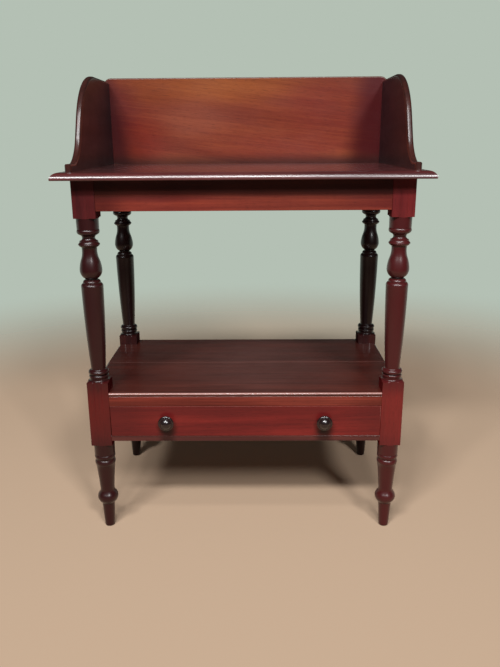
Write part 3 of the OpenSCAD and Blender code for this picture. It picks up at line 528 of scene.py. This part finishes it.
for end, y in (("front", LEG_FRONT_Y), ("back", LEG_BACK_Y)):
    for side, x in (("left", -LEG_X), ("right", LEG_X)):
        rubbed, unrubbed = leg_finish_lit_and_shaded["back" if end == "back" else f"{end}_{side}"]
        leg = turned_piece(f"turned_leg_{end}_{side}", turned_points(leg_rows), rubbed,
                           LEG_SQUARE / 2, LEG_FACETS)
        leg.data.materials.append(unrubbed)
        for face in leg.data.polygons:    # no cloth reached the block faces between the legs
            z = face.center.z
            in_block = FOOT_TOP < z < LOWER_BLOCK_TOP or z > UPPER_BLOCK_LOW
            if in_block and face.normal.x * x < -0.7 * LEG_X:
                face.material_index = 1
        for vertex in leg.data.vertices:
            vertex.co += Vector((x, y, 0))
        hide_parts(f"leg_{end}_{side}")
        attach(leg, "stand")


# The rails that join the legs
#
# Plain boards of the same mahogany with a tenon at each end, planed, scraped and polished.
# Their arrises are eased with a stroke of the plane.
def boarded(name, node, finish, body="stand", ease=0.0007, longest=0.03):
    """A board from a CAD node: its triangles merged into faces, its long arrises eased."""
    work = bmesh.new()
    work.from_mesh(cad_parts[node].data)
    bmesh.ops.remove_doubles(work, verts=work.verts, dist=2e-6)
    bmesh.ops.dissolve_limit(work, angle_limit=math.radians(0.5), verts=work.verts,
                             edges=work.edges)
    weights = work.edges.layers.float.new("bevel_weight_edge")
    for edge in work.edges:
        if edge.is_manifold and edge.calc_length() > longest and edge.is_convex \
                and edge.calc_face_angle() > math.radians(50):
            edge[weights] = 1.0
    mesh = bpy.data.meshes.new(name)
    work.to_mesh(mesh)
    work.free()
    mesh.shade_smooth()
    mesh.set_sharp_from_angle(angle=math.radians(32))
    board = new_object(name, mesh)
    bevel = board.modifiers.new("eased arrises", "BEVEL")
    bevel.limit_method, bevel.width, bevel.segments = "WEIGHT", ease, 3
    bevel.use_clamp_overlap = False
    board.modifiers.new("slivers at the corners closed", "WELD").merge_threshold = 1e-5
    flatten = board.modifiers.new("flat faces stay flat", "WEIGHTED_NORMAL")
    flatten.keep_sharp, flatten.weight = True, 100
    make_plain(board)
    board.data.materials.append(finish)
    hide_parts(node)
    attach(board, body)


# Warm red with a soft shine: painted shade at the left, painted light to the right of the
# middle, and the top board's painted shadow right under it
RAIL_FACE_Y = box_of("upper_front_rail")[0][1]
RAIL_TONES = ("#642320", "#84332a", "#9d4430")
rail_across = mahogany("rail_mahogany_across", "X", RAIL_TONES, figure=0.7, polish=0.7,
                       # painted shade at the left end, painted light right of the middle
                       fade=patches(RAIL_FACE_Y, 0, ("#4d1c18", -0.275, 0.69, 0.075, 0.1, 0.8),
                                    ("#ac553a", 0.09, 0.69, 0.2, 0.1, 0.28)),
                       # the painted shadow of the top board's overhang
                       dirt_and_shade=(LEG_TOP - 0.019, LEG_TOP - 0.043))
rail_along = mahogany("rail_mahogany_along", "Y", RAIL_TONES, polish=0.7)
for node in ("upper_front_rail", "upper_back_rail", "lower_back_rail"):
    boarded(node + "_polished", node, rail_across)
for node in ("upper_left_rail", "upper_right_rail", "lower_left_rail", "lower_right_rail"):
    boarded(node + "_polished", node, rail_along)

# The two flat rails over and under the drawer are different sticks: the upper one is lighter
# and more orange, with painted light right of its middle, the lower one duller, with the
# knobs' painted shadows under them
KNOB_X = 0.160
RAIL_KNOB_SHADOW_Z = 0.214
drawer_rail_light_and_shade = patches(
    # the knobs' painted shadows on the lower rail
    RAIL_FACE_Y, 0, ("#2c1211", -KNOB_X, RAIL_KNOB_SHADOW_Z, 0.024, 0.060, 0.95),
    ("#2c1211", KNOB_X, RAIL_KNOB_SHADOW_Z, 0.024, 0.060, 0.95),
    # painted light right of the middle of the upper rail
    ("#ae4d3c", 0.13, 0.300, 0.19, 0.04, 0.36))
for node, tones in (("drawer_top_rail", ("#5c1e17", "#8a3428", "#a84a38")),
                    ("drawer_bottom_rail", ("#451f1d", "#5a2a28", "#68362f"))):
    finish = mahogany(node + "_mahogany", "X", tones, figure=0.7, polish=0.7, arris_highlight="#a0685e",
                      fade=drawer_rail_light_and_shade)
    boarded(node + "_polished", node, finish)


# The inside of the drawer case
#
# Runners, guides, kickers and stops of deal, which is sawn and planed pine that nobody
# polished. It has darkened, and dust lies in its grain.
def bare_wood(name, grain, tones, rings=0.006):
    """Planed wood without polish: matt, with growth rings of late and early wood. tones are
    its late wood, its early wood and its dust."""
    material = empty_material(name)
    tree = material.node_tree
    place = add(tree, "ShaderNodeTexCoord").outputs["Object"]
    scale = [0.03 if axis == grain else 1.0 for axis in "XYZ"]
    long_way = add(tree, "ShaderNodeMapping", Vector=place, Scale=scale,
                   Rotation=(0.04, 0.03, 0.05)).outputs[0]
    band = add(tree, "ShaderNodeTexNoise", Vector=long_way, Scale=0.6 / rings, Detail=3,
               Roughness=0.55, Distortion=0.4).outputs["Fac"]
    fuzz = add(tree, "ShaderNodeTexNoise", Vector=long_way, Scale=1300, Detail=2).outputs["Fac"]
    dust = add(tree, "ShaderNodeTexNoise", Vector=place, Scale=14, Detail=4).outputs["Fac"]
    ramp = add(tree, "ShaderNodeValToRGB", Fac=band)
    for stop, code, position in zip(ramp.color_ramp.elements, tones, (0.36, 0.62)):
        stop.position = position
        stop.color = linear(code)
    colour = laid_over(tree, ramp.outputs["Color"], tones[2], (dust, 0.4, 0.7, 0, 0.5))
    rough = add(tree, "ShaderNodeMapRange", Value=fuzz, To__Min=0.62, To__Max=0.85)
    bump = add(tree, "ShaderNodeBump", Strength=0.5, Distance=0.0002, Height=fuzz)
    wood = add(tree, "ShaderNodeBsdfPrincipled", Base__Color=colour, Normal=bump.outputs[0],
               Roughness=rough.outputs["Result"], Specular__IOR__Level=0.3)
    add(tree, "ShaderNodeOutputMaterial", Surface=wood.outputs[0])
    return material


DEAL_TONES = ("#8a6238", "#b98d5c", "#6f5238")
deal_along = bare_wood("deal_along", "Y", DEAL_TONES)
deal_across = bare_wood("deal_across", "X", DEAL_TONES)
for node in ("left_runner", "right_runner", "left_guide", "right_guide", "left_kicker",
             "right_kicker"):
    boarded(node + "_planed", node, deal_along)
for node in ("drawer_stops", "top_glue_blocks", "shelf_glue_blocks"):
    boarded(node + "_planed", node, deal_across, ease=0.0005, longest=0.012)


# The shelf
#
# Two thin boards butted edge to edge and notched round the legs, with a rounded front edge.
# They are darker than the rails, from a century of dust and polish.
SHELF_HIGH = box_of("shelf_front_board")[1][2]
shelf_mahogany = mahogany(      # brown, with a painted reflection greying its middle and painted shade in the corners behind
    "shelf_mahogany", "X", ("#3c1712", "#56251e", "#703328"), figure=1.2, streaks=1.2,
    # a painted highlight along the front edge
    worn="#7c4030", nose_highlight="#b8857c", shine=0.34, polish=0.7, gloss=0.2, film=1.7,
    # a painted reflection in the middle, painted shade in the two corners behind
    fade=[("#75504a", (0.03, 0, SHELF_HIGH), (0.25, 0.3, 0.1), 0.52),
          ("#351410", (-0.28, 0.12, SHELF_HIGH), (0.2, 0.2, 0.1), 0.5),
          ("#351410", (0.28, 0.12, SHELF_HIGH), (0.2, 0.2, 0.1), 0.5)])
for node in ("shelf_front_board", "shelf_back_board"):
    boarded(node + "_polished", node, shelf_mahogany, ease=0.0005)


# The top board
#
# One wide board with a thumb moulding worked along the front and both ends. It overhangs
# the rails, is screwed up from pockets in them, and has taken most of the handling.
TOP_HEIGHT = box_of("top_board")[1][2]
top_mahogany = mahogany(        # dark under the thickest film, with painted light in the middle and painted shade at the left
    "top_mahogany", "X", ("#3e1618", "#5a2324", "#763431"), gloss=0.25, film=1.8,
    # painted light in the middle, painted shade at the left end
    fade=[("#80504a", (0.03, 0, TOP_HEIGHT), (0.22, 0.3, 0.1), 0.65),
          ("#2e1012", (-0.3, 0, TOP_HEIGHT), (0.12, 0.3, 0.1), 0.8)])
boarded("top_board_polished", "top_board", top_mahogany, ease=0.0006,
        longest=0.3)


# The gallery
#
# Three boards stand on the top board: two sides swept down to a small square step in front,
# and a plain back with rounded upper corners. Their edges are rounded over and polished.
low, high, middle = box_of("gallery_right")
SIDE_X, SIDE_FRONT = middle[0], low[1]
SIDE_THICK, SIDE_LONG, SIDE_HIGH = [b - a for a, b in zip(low, high)]
SIDE_EDGE = 0.00475
STEP_HIGH, STEP_LONG = 0.0145, 0.032
HOLLOW_R, SHOULDER_R = 0.084, 0.145
HOLLOW_START, SWEEP_SLOPE = math.radians(15), math.radians(64)
low, high, middle = box_of("gallery_back")
BACK_Y, BACK_HALF = middle[1], high[0]
BACK_THICK, BACK_HIGH = high[1] - low[1], high[2] - low[2]
BACK_EDGE = 0.0025
BACK_CORNER = 0.017


def side_outline(inset, steps=28):
    """Outline of a gallery side, drawn in by an inset, as distances along it and up."""
    rise = (SIDE_HIGH - STEP_HIGH - HOLLOW_R * (math.cos(HOLLOW_START) - math.cos(SWEEP_SLOPE))
            - SHOULDER_R * (1 - math.cos(SWEEP_SLOPE)))
    hollow_along = STEP_LONG - HOLLOW_R * math.sin(HOLLOW_START)
    hollow_up = STEP_HIGH + HOLLOW_R * math.cos(HOLLOW_START)
    shoulder_along = (hollow_along + (HOLLOW_R + SHOULDER_R) * math.sin(SWEEP_SLOPE)
                      + rise / math.tan(SWEEP_SLOPE))
    first = math.acos((hollow_up - STEP_HIGH + inset) / (HOLLOW_R + inset))
    points = [(SIDE_LONG, 0), (SIDE_LONG, SIDE_HIGH - inset)]
    for i in range(steps + 1):
        a = SWEEP_SLOPE * i / steps
        points.append((shoulder_along - (SHOULDER_R - inset) * math.sin(a),
                       SIDE_HIGH - SHOULDER_R + (SHOULDER_R - inset) * math.cos(a)))
    for i in range(steps + 1):
        a = SWEEP_SLOPE + (first - SWEEP_SLOPE) * i / steps
        points.append((hollow_along + (HOLLOW_R + inset) * math.sin(a),
                       hollow_up - (HOLLOW_R + inset) * math.cos(a)))
    return points + [(inset, STEP_HIGH - inset), (inset, 0)]


def back_outline(inset, steps=14):
    """Outline of the gallery back, drawn in by an inset."""
    half, high, r = BACK_HALF - inset, BACK_HIGH - inset, BACK_CORNER - inset
    turns = [math.pi / 2 * i / steps for i in range(steps + 1)]
    return ([(half, 0)] + [(half - r + r * math.cos(a), high - r + r * math.sin(a)) for a in turns]
            + [(-half + r - r * math.sin(a), high - r + r * math.cos(a)) for a in turns]
            + [(-half, 0)])


def rounded_board(name, outline, thick, edge, put, turns=7):
    """A board with rounded edges. put places a point from its distance along the board, its
    place in the thickness and its height."""
    near = [(-thick / 2 + edge * (1 - math.cos(math.pi / 2 * i / turns)),
             edge * (1 - math.sin(math.pi / 2 * i / turns))) for i in range(turns + 1)]
    rings = near + [(-across, inset) for across, inset in reversed(near)]
    points, faces = [], []
    for across, inset in rings:
        points += [put(along, across, up) for along, up in outline(inset)]
    count = len(outline(0))
    for k in range(len(rings) - 1):
        for i in range(count):
            j = (i + 1) % count
            faces.append((k * count + i, k * count + j, (k + 1) * count + j, (k + 1) * count + i))
    faces.append(tuple(range(count)))
    faces.append(tuple(reversed(range((len(rings) - 1) * count, len(rings) * count))))
    mesh = bpy.data.meshes.new(name)
    mesh.from_pydata(points, [], faces)
    flat, bent = [0.0] * count, [1.0] * count * (len(rings) - 2)
    edge_part = mesh.attributes.new("rounded_edge", "FLOAT", "POINT")
    edge_part.data.foreach_set("value", flat + bent + flat)
    board = new_object(name, mesh)
    tidy_shading(board, degrees=40)
    board.modifiers.new("flat faces stay flat", "WEIGHTED_NORMAL").keep_sharp = True
    make_plain(board)
    return board


# The sides are nearly black and dull inside, redder outside, and shiny along the edge. The
# back is the lightest board, bleached orange in patches, with painted shadows of the sides
# at its ends and painted shade along the top board.
side_mahogany = mahogany("gallery_side_mahogany", "Y", ("#231a1e", "#302326", "#3d2c2f"),
                         polish=0.3, gloss=0.3)
side_outside_mahogany = mahogany("gallery_outside_mahogany", "Y",
                                 ("#5a1d17", "#742b21", "#883a2b"), polish=0.4, gloss=0.28)
side_edge_mahogany = mahogany("gallery_edge_mahogany", "Y", ("#2e1411", "#431d18", "#552820"),
                              gloss=0.25, film=1.8)
back_mahogany = mahogany(
    "gallery_back_mahogany", "X", ("#702c1e", "#863a27", "#9e5030"), slant=(0, -0.12, 0),
    figure=0.8, streaks=0.7, rounded="#5e3422",
    fade=patches(BACK_Y, TOP_HEIGHT, ("#a8602c", -0.06, 0.19, 0.26, 0.08, 0.6),
                 ("#8c4522", -0.22, 0.18, 0.14, 0.07, 0.7),
                 ("#8a4a24", 0.18, 0.195, 0.2, 0.05, 0.7),
                 ("#94503c", -0.13, 0.10, 0.14, 0.06, 0.6),
                 ("#7c2720", 0.20, 0.13, 0.16, 0.16, 0.6),
                 ("#7c2218", -0.25, 0.05, 0.10, 0.10, 0.8),
                 ("#7e2c26", 0.08, 0.03, 0.2, 0.05, 0.6),
                 # painted shade at both ends
                 ("#5c1a20", -0.30, 0.12, 0.08, 0.10, 0.8),
                 ("#5c161c", 0.32, 0.10, 0.10, 0.2, 0.8)),
    # painted shadows of the two sides, slanting across the ends
    end_shadows=[("#451318", 0.2, -0.098, -0.142, 0.85), ("#4e1118", -0.12, 0.124, 0.182, 0.8)],
    # painted shade along the top board
    dirt_and_shade=(TOP_HEIGHT, TOP_HEIGHT + 0.03))
for side, s in (("left", -1), ("right", 1)):
    board = rounded_board(
        f"gallery_{side}_polished", side_outline, SIDE_THICK, SIDE_EDGE,
        lambda along, across, up, s=s: (s * SIDE_X + across, SIDE_FRONT + along, TOP_HEIGHT + up))
    for finish in (side_mahogany, side_edge_mahogany, side_outside_mahogany):
        board.data.materials.append(finish)
    for face in board.data.polygons:
        if len(face.vertices) > 4:        # one of the two flat faces
            face.material_index = 2 if face.normal.x * s > 0 else 0
        else:
            face.material_index = 1
    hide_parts(f"gallery_{side}")
    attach(board, "stand")
board = rounded_board("gallery_back_polished", back_outline, BACK_THICK, BACK_EDGE,
                      lambda along, across, up: (along, BACK_Y + across, TOP_HEIGHT + up))
board.data.materials.append(back_mahogany)
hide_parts("gallery_back")
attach(board, "stand")


# The drawer
#
# A mahogany front, lapped over the dovetails of its sides so that they don't show from the
# front, and plain thin sides, back and bottom of a paler wood that was only planed.
low, high, middle = box_of("drawer_front")
DRAWER_FACE_Y, DRAWER_FRONT_LOW, KNOB_Z = low[1], low[2], middle[2]
FRONT_KNOB_SHADOW_Z = 0.226
front_mahogany = mahogany(      # the reddest wood, with painted shade at its ends and the knobs' painted shadows below
    "drawer_front_mahogany", "X", ("#611a1a", "#802321", "#962f27"), slant=(0, 0.02, 0),
    figure=0.9, streaks=0.6, arris_highlight="#a8645a", polish=0.6, gloss=0.22,
    dirt_and_shade=(DRAWER_FRONT_LOW - 0.0025, DRAWER_FRONT_LOW + 0.001),
    # painted shade at both ends
    fade=patches(DRAWER_FACE_Y, 0, ("#4d1415", -0.27, 0.25, 0.13, 0.1, 0.7),
                 ("#561a1b", 0.29, 0.265, 0.12, 0.07, 0.7),
                 # the knobs' painted shadows below them
                 ("#260f10", -KNOB_X, FRONT_KNOB_SHADOW_Z, 0.025, 0.050, 0.95),
                 ("#260f10", KNOB_X, FRONT_KNOB_SHADOW_Z, 0.025, 0.050, 0.95)))
boarded("drawer_front_polished", "drawer_front", front_mahogany, "drawer",
        longest=0.05)
LINING_TONES = ("#7c5236", "#a47752", "#634631")
lining_along = bare_wood("drawer_lining_along", "Y", LINING_TONES, rings=0.009)
lining_across = bare_wood("drawer_lining_across", "X", LINING_TONES, rings=0.009)
for node, finish in (("drawer_left_side", lining_along), ("drawer_right_side", lining_along),
                     ("drawer_back", lining_across), ("drawer_bottom", lining_across)):
    boarded(node + "_planed", node, finish, "drawer", ease=0.0004, longest=0.2)


# The drawer's nails
#
# Five cut nails go up through the back edge of the drawer bottom into the drawer back. Only
# their flat heads show, from below.
NAIL_COUNT = 5
NAIL_ROW_X = 0.23
NAIL_Y = box_of("drawer_back")[2][1]
NAIL_FACE_Z = box_of("drawer_bottom")[0][2]
NAIL_HEAD = 0.0042
NAIL_SHAPE = (1.0, 0.72, 0.3)      # length, width and height, in heads
IRON_COLOUR = "#6d6964"
RUST_COLOUR = "#4a3226"

# Iron that has lost its shine: dull grey, with spots of brown rust
old_iron = empty_material("old_iron")
tree = old_iron.node_tree
place = add(tree, "ShaderNodeTexCoord").outputs["Object"]
spots = add(tree, "ShaderNodeTexNoise", Vector=place, Scale=900, Detail=3).outputs["Fac"]
rusty = laid_over(tree, linear(IRON_COLOUR), RUST_COLOUR, (spots, 0.45, 0.65, 0, 0.7))
dull = add(tree, "ShaderNodeMapRange", Value=spots, To__Min=0.4, To__Max=0.75)
bare = add(tree, "ShaderNodeMapRange", SOFT, Value=spots, From__Min=0.45, From__Max=0.65,
           To__Min=1.0, To__Max=0.51)
metal = add(tree, "ShaderNodeBsdfPrincipled", Base__Color=rusty,
            Roughness=dull.outputs["Result"], Metallic=bare.outputs["Result"])
add(tree, "ShaderNodeOutputMaterial", Surface=metal.outputs[0])


def nail_tree():
    """A row of nail heads as Geometry Nodes, each turned a little differently."""
    group, given = new_tree("nail_row", "Nail row", Nothing="Geometry", Nails="Int",
                            First="Vector", Step="Vector", Head="Float", Seed="Int",
                            Finish="Material")
    row = add(group, "GeometryNodeMeshLine", Count=given["Nails"], Start__Location=given["First"],
              Offset=given["Step"])
    shape = add(group, "ShaderNodeVectorMath", {"operation": "SCALE"}, Vector=NAIL_SHAPE,
                Scale=given["Head"])
    head = add(group, "GeometryNodeMeshCube", Size=shape.outputs[0])
    fine = add(group, "GeometryNodeSubdivisionSurface", Mesh=head.outputs["Mesh"], Level=2,
               Edge__Crease=0.62)
    turn = add(group, "FunctionNodeRandomValue", {"data_type": "FLOAT"}, Min_001=-0.5,
               Max_001=0.5, Seed=given["Seed"])
    spin = add(group, "ShaderNodeCombineXYZ", Z=turn.outputs[1])
    smooth = add(group, "GeometryNodeSetShadeSmooth", Geometry=fine.outputs[0])
    nails = add(group, "GeometryNodeInstanceOnPoints", Points=row.outputs[0],
                Instance=smooth.outputs[0], Rotation=spin.outputs[0])
    return ended(group, nails.outputs[0], given["Finish"])


nails = made_by(nail_tree(), "drawer_bottom_nails", bpy.data.meshes.new("nothing"),
                Nails=NAIL_COUNT, First=(-NAIL_ROW_X, NAIL_Y, NAIL_FACE_Z), Head=NAIL_HEAD,
                Step=(2 * NAIL_ROW_X / (NAIL_COUNT - 1), 0, 0), Seed=4, Finish=old_iron)
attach(nails, "drawer")


# The knobs
#
# Each is turned from one piece of dark wood: a thin foot, a hollow neck, a fillet, a fat rim
# and a low dome. Its spigot goes right through the drawer front and is glued there.
KNOB_ROWS = [
    (0.3, 23.05, 0), (1.5, 23, 0), (12, 15.7, 1.6), (12, 14.9, 0), (13.2, 14.7, 0),
    (14.5, 9, 2.1), (7, 5.75, -1.2), (8.6, 2.6, -0.8), (9.6, 2.2, 0), (10, 0, 0.4), (5.5, 0, 0),
    (5.5, -18.5, 0), (4.5, -19.5, 0), (0.3, -19.5, 0)]
KNOB_FACETS = 72
ROUND_ALL_OVER = 1.0      # half of a square far too large for anything to be cut back

# Nearly black, and shiny from the hands that pull it
dark_knob_wood = mahogany("dark_knob_wood", "Y", ("#1d0f0e", "#261311", "#331b16"),
                          turned="#1e1012", gloss=0.2, film=1.75)
for side, s in (("left", -1), ("right", 1)):
    knob = turned_piece(f"turned_knob_{side}", turned_points(KNOB_ROWS), dark_knob_wood,
                        ROUND_ALL_OVER, KNOB_FACETS)
    for vertex in knob.data.vertices:
        x, y, z = vertex.co
        vertex.co = (s * KNOB_X + x, DRAWER_FACE_Y - z, KNOB_Z + y)
    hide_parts(f"{side}_knob")
    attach(knob, "drawer")


# The screws
#
# Wood screws of the same iron, with a filed slot. Six go up from pockets in the upper rails
# into the top board, eight through it into the gallery, four through the gallery back.
SCREW_POCKET_LEAN = math.radians(20)
SCREW_COUNTERSUNK = [(3.9, 0.0, 0), (4, -0.4, 0), (2, -2.4, 0), (2, -28, 0), (0.2, -32, 0)]
SCREW_PAN = [(1, 29.9, 0), (4, 27.8, 0.5), (4, 27, 0), (2, 27, 0), (2, -7.5, 0), (0.2, -10.5, 0)]
SCREW_FACETS = 28
SLOT_WIDE, SLOT_DEEP = 0.001, 0.0011


def slotted_screw_tree():
    """Screws as Geometry Nodes: a slot is cut across the head of the given shape, and one such
    screw is set at each point, its tip towards the aim, its slot turned at random."""
    group, given = new_tree("slotted_screws", "Screws", Points="Geometry", Shape="Object",
                            Head_height="Float", Slot_width="Float", Slot_depth="Float",
                            Seed="Int", Finish="Material")
    shape = add(group, "GeometryNodeObjectInfo", Object=given["Shape"])
    double = add(group, "ShaderNodeMath", {"operation": "MULTIPLY"}, Value=given["Slot depth"],
                 Value_001=2.0)
    saw = add(group, "ShaderNodeCombineXYZ", X=0.02, Y=given["Slot width"], Z=double.outputs[0])
    blade = add(group, "GeometryNodeMeshCube", Size=saw.outputs[0])
    lift = add(group, "ShaderNodeCombineXYZ", Z=given["Head height"])
    raised = add(group, "GeometryNodeSetPosition", Geometry=blade.outputs["Mesh"],
                 Offset=lift.outputs[0])
    cut = add(group, "GeometryNodeMeshBoolean", {"operation": "DIFFERENCE"},
              Mesh__1=shape.outputs["Geometry"], Mesh__2=raised.outputs[0])
    aim = add(group, "GeometryNodeInputNamedAttribute", {"data_type": "FLOAT_VECTOR"}, Name="aim")
    away = add(group, "ShaderNodeVectorMath", {"operation": "SCALE"}, Scale=-1.0,
               Vector=aim.outputs["Attribute"])
    upright = add(group, "FunctionNodeAlignRotationToVector", {"axis": "Z"}, Vector=away.outputs[0])
    turn = add(group, "FunctionNodeRandomValue", {"data_type": "FLOAT"}, Min_001=0.0,
               Max_001=3.14, Seed=given["Seed"])
    spin = add(group, "FunctionNodeAxisAngleToRotation", Axis=(0, 0, 1), Angle=turn.outputs[1])
    turned = add(group, "FunctionNodeRotateRotation", {"rotation_space": "LOCAL"},
                 Rotation=upright.outputs[0], Rotate__By=spin.outputs[0])
    screws = add(group, "GeometryNodeInstanceOnPoints", Points=given["Points"],
                 Instance=cut.outputs["Mesh"], Rotation=turned.outputs[0])
    return ended(group, screws.outputs[0], given["Finish"])


slotted_screws = slotted_screw_tree()


def screw_set(node, rows, places):
    """One set of screws. Each place is where the screw's zero height is, and its aim."""
    shape = turned_piece(node + "_shape", turned_points(rows), old_iron, ROUND_ALL_OVER,
                         SCREW_FACETS)
    points = bpy.data.meshes.new(node + "_points")
    points.from_pydata([p for p, aim in places], [], [])
    points.attributes.new("aim", "FLOAT_VECTOR", "POINT").data.foreach_set(
        "vector", [value for p, aim in places for value in aim])
    screws = made_by(slotted_screws, node + "_slotted", points, Shape=shape,
                     Head_height=rows[0][1] / 1000, Slot_width=SLOT_WIDE,
                     Slot_depth=SLOT_DEEP, Seed=7, Finish=old_iron)
    bpy.data.objects.remove(shape)
    tidy_shading(screws, degrees=30)
    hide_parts(node)
    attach(screws, "stand")


HEAD_SINK = 0.0005
POCKET_X = 0.151
POCKET_FRONT_Y, POCKET_BACK_Y = -0.162, 0.189
SIDE_POCKET_X, SIDE_POCKET_Y = 0.3065, 0.013
up = (0, 0, 1)
screw_set("gallery_screws", SCREW_COUNTERSUNK,
          [((s * SIDE_X, SIDE_FRONT + share * SIDE_LONG, LEG_TOP + HEAD_SINK), up)
           for s in (-1, 1) for share in (0.3, 0.72)]
          + [((share * SIDE_X, BACK_Y, LEG_TOP + HEAD_SINK), up)
             for share in (-0.75, -0.25, 0.25, 0.75)])
screw_set("gallery_corner_screws", SCREW_COUNTERSUNK,
          [((s * SIDE_X, BACK_Y + BACK_THICK / 2 - HEAD_SINK, TOP_HEIGHT + share * SIDE_HIGH),
            (0, -1, 0)) for s in (-1, 1) for share in (0.22, 0.76)])
lean, rise = math.sin(SCREW_POCKET_LEAN), math.cos(SCREW_POCKET_LEAN)
screw_set("top_screws", SCREW_PAN,
          [((s * POCKET_X, POCKET_FRONT_Y, LEG_TOP), (0, -lean, rise)) for s in (-1, 1)]
          + [((s * POCKET_X, POCKET_BACK_Y, LEG_TOP), (0, lean, rise)) for s in (-1, 1)]
          + [((s * SIDE_POCKET_X, SIDE_POCKET_Y, LEG_TOP), (s * lean, 0, rise))
             for s in (-1, 1)])
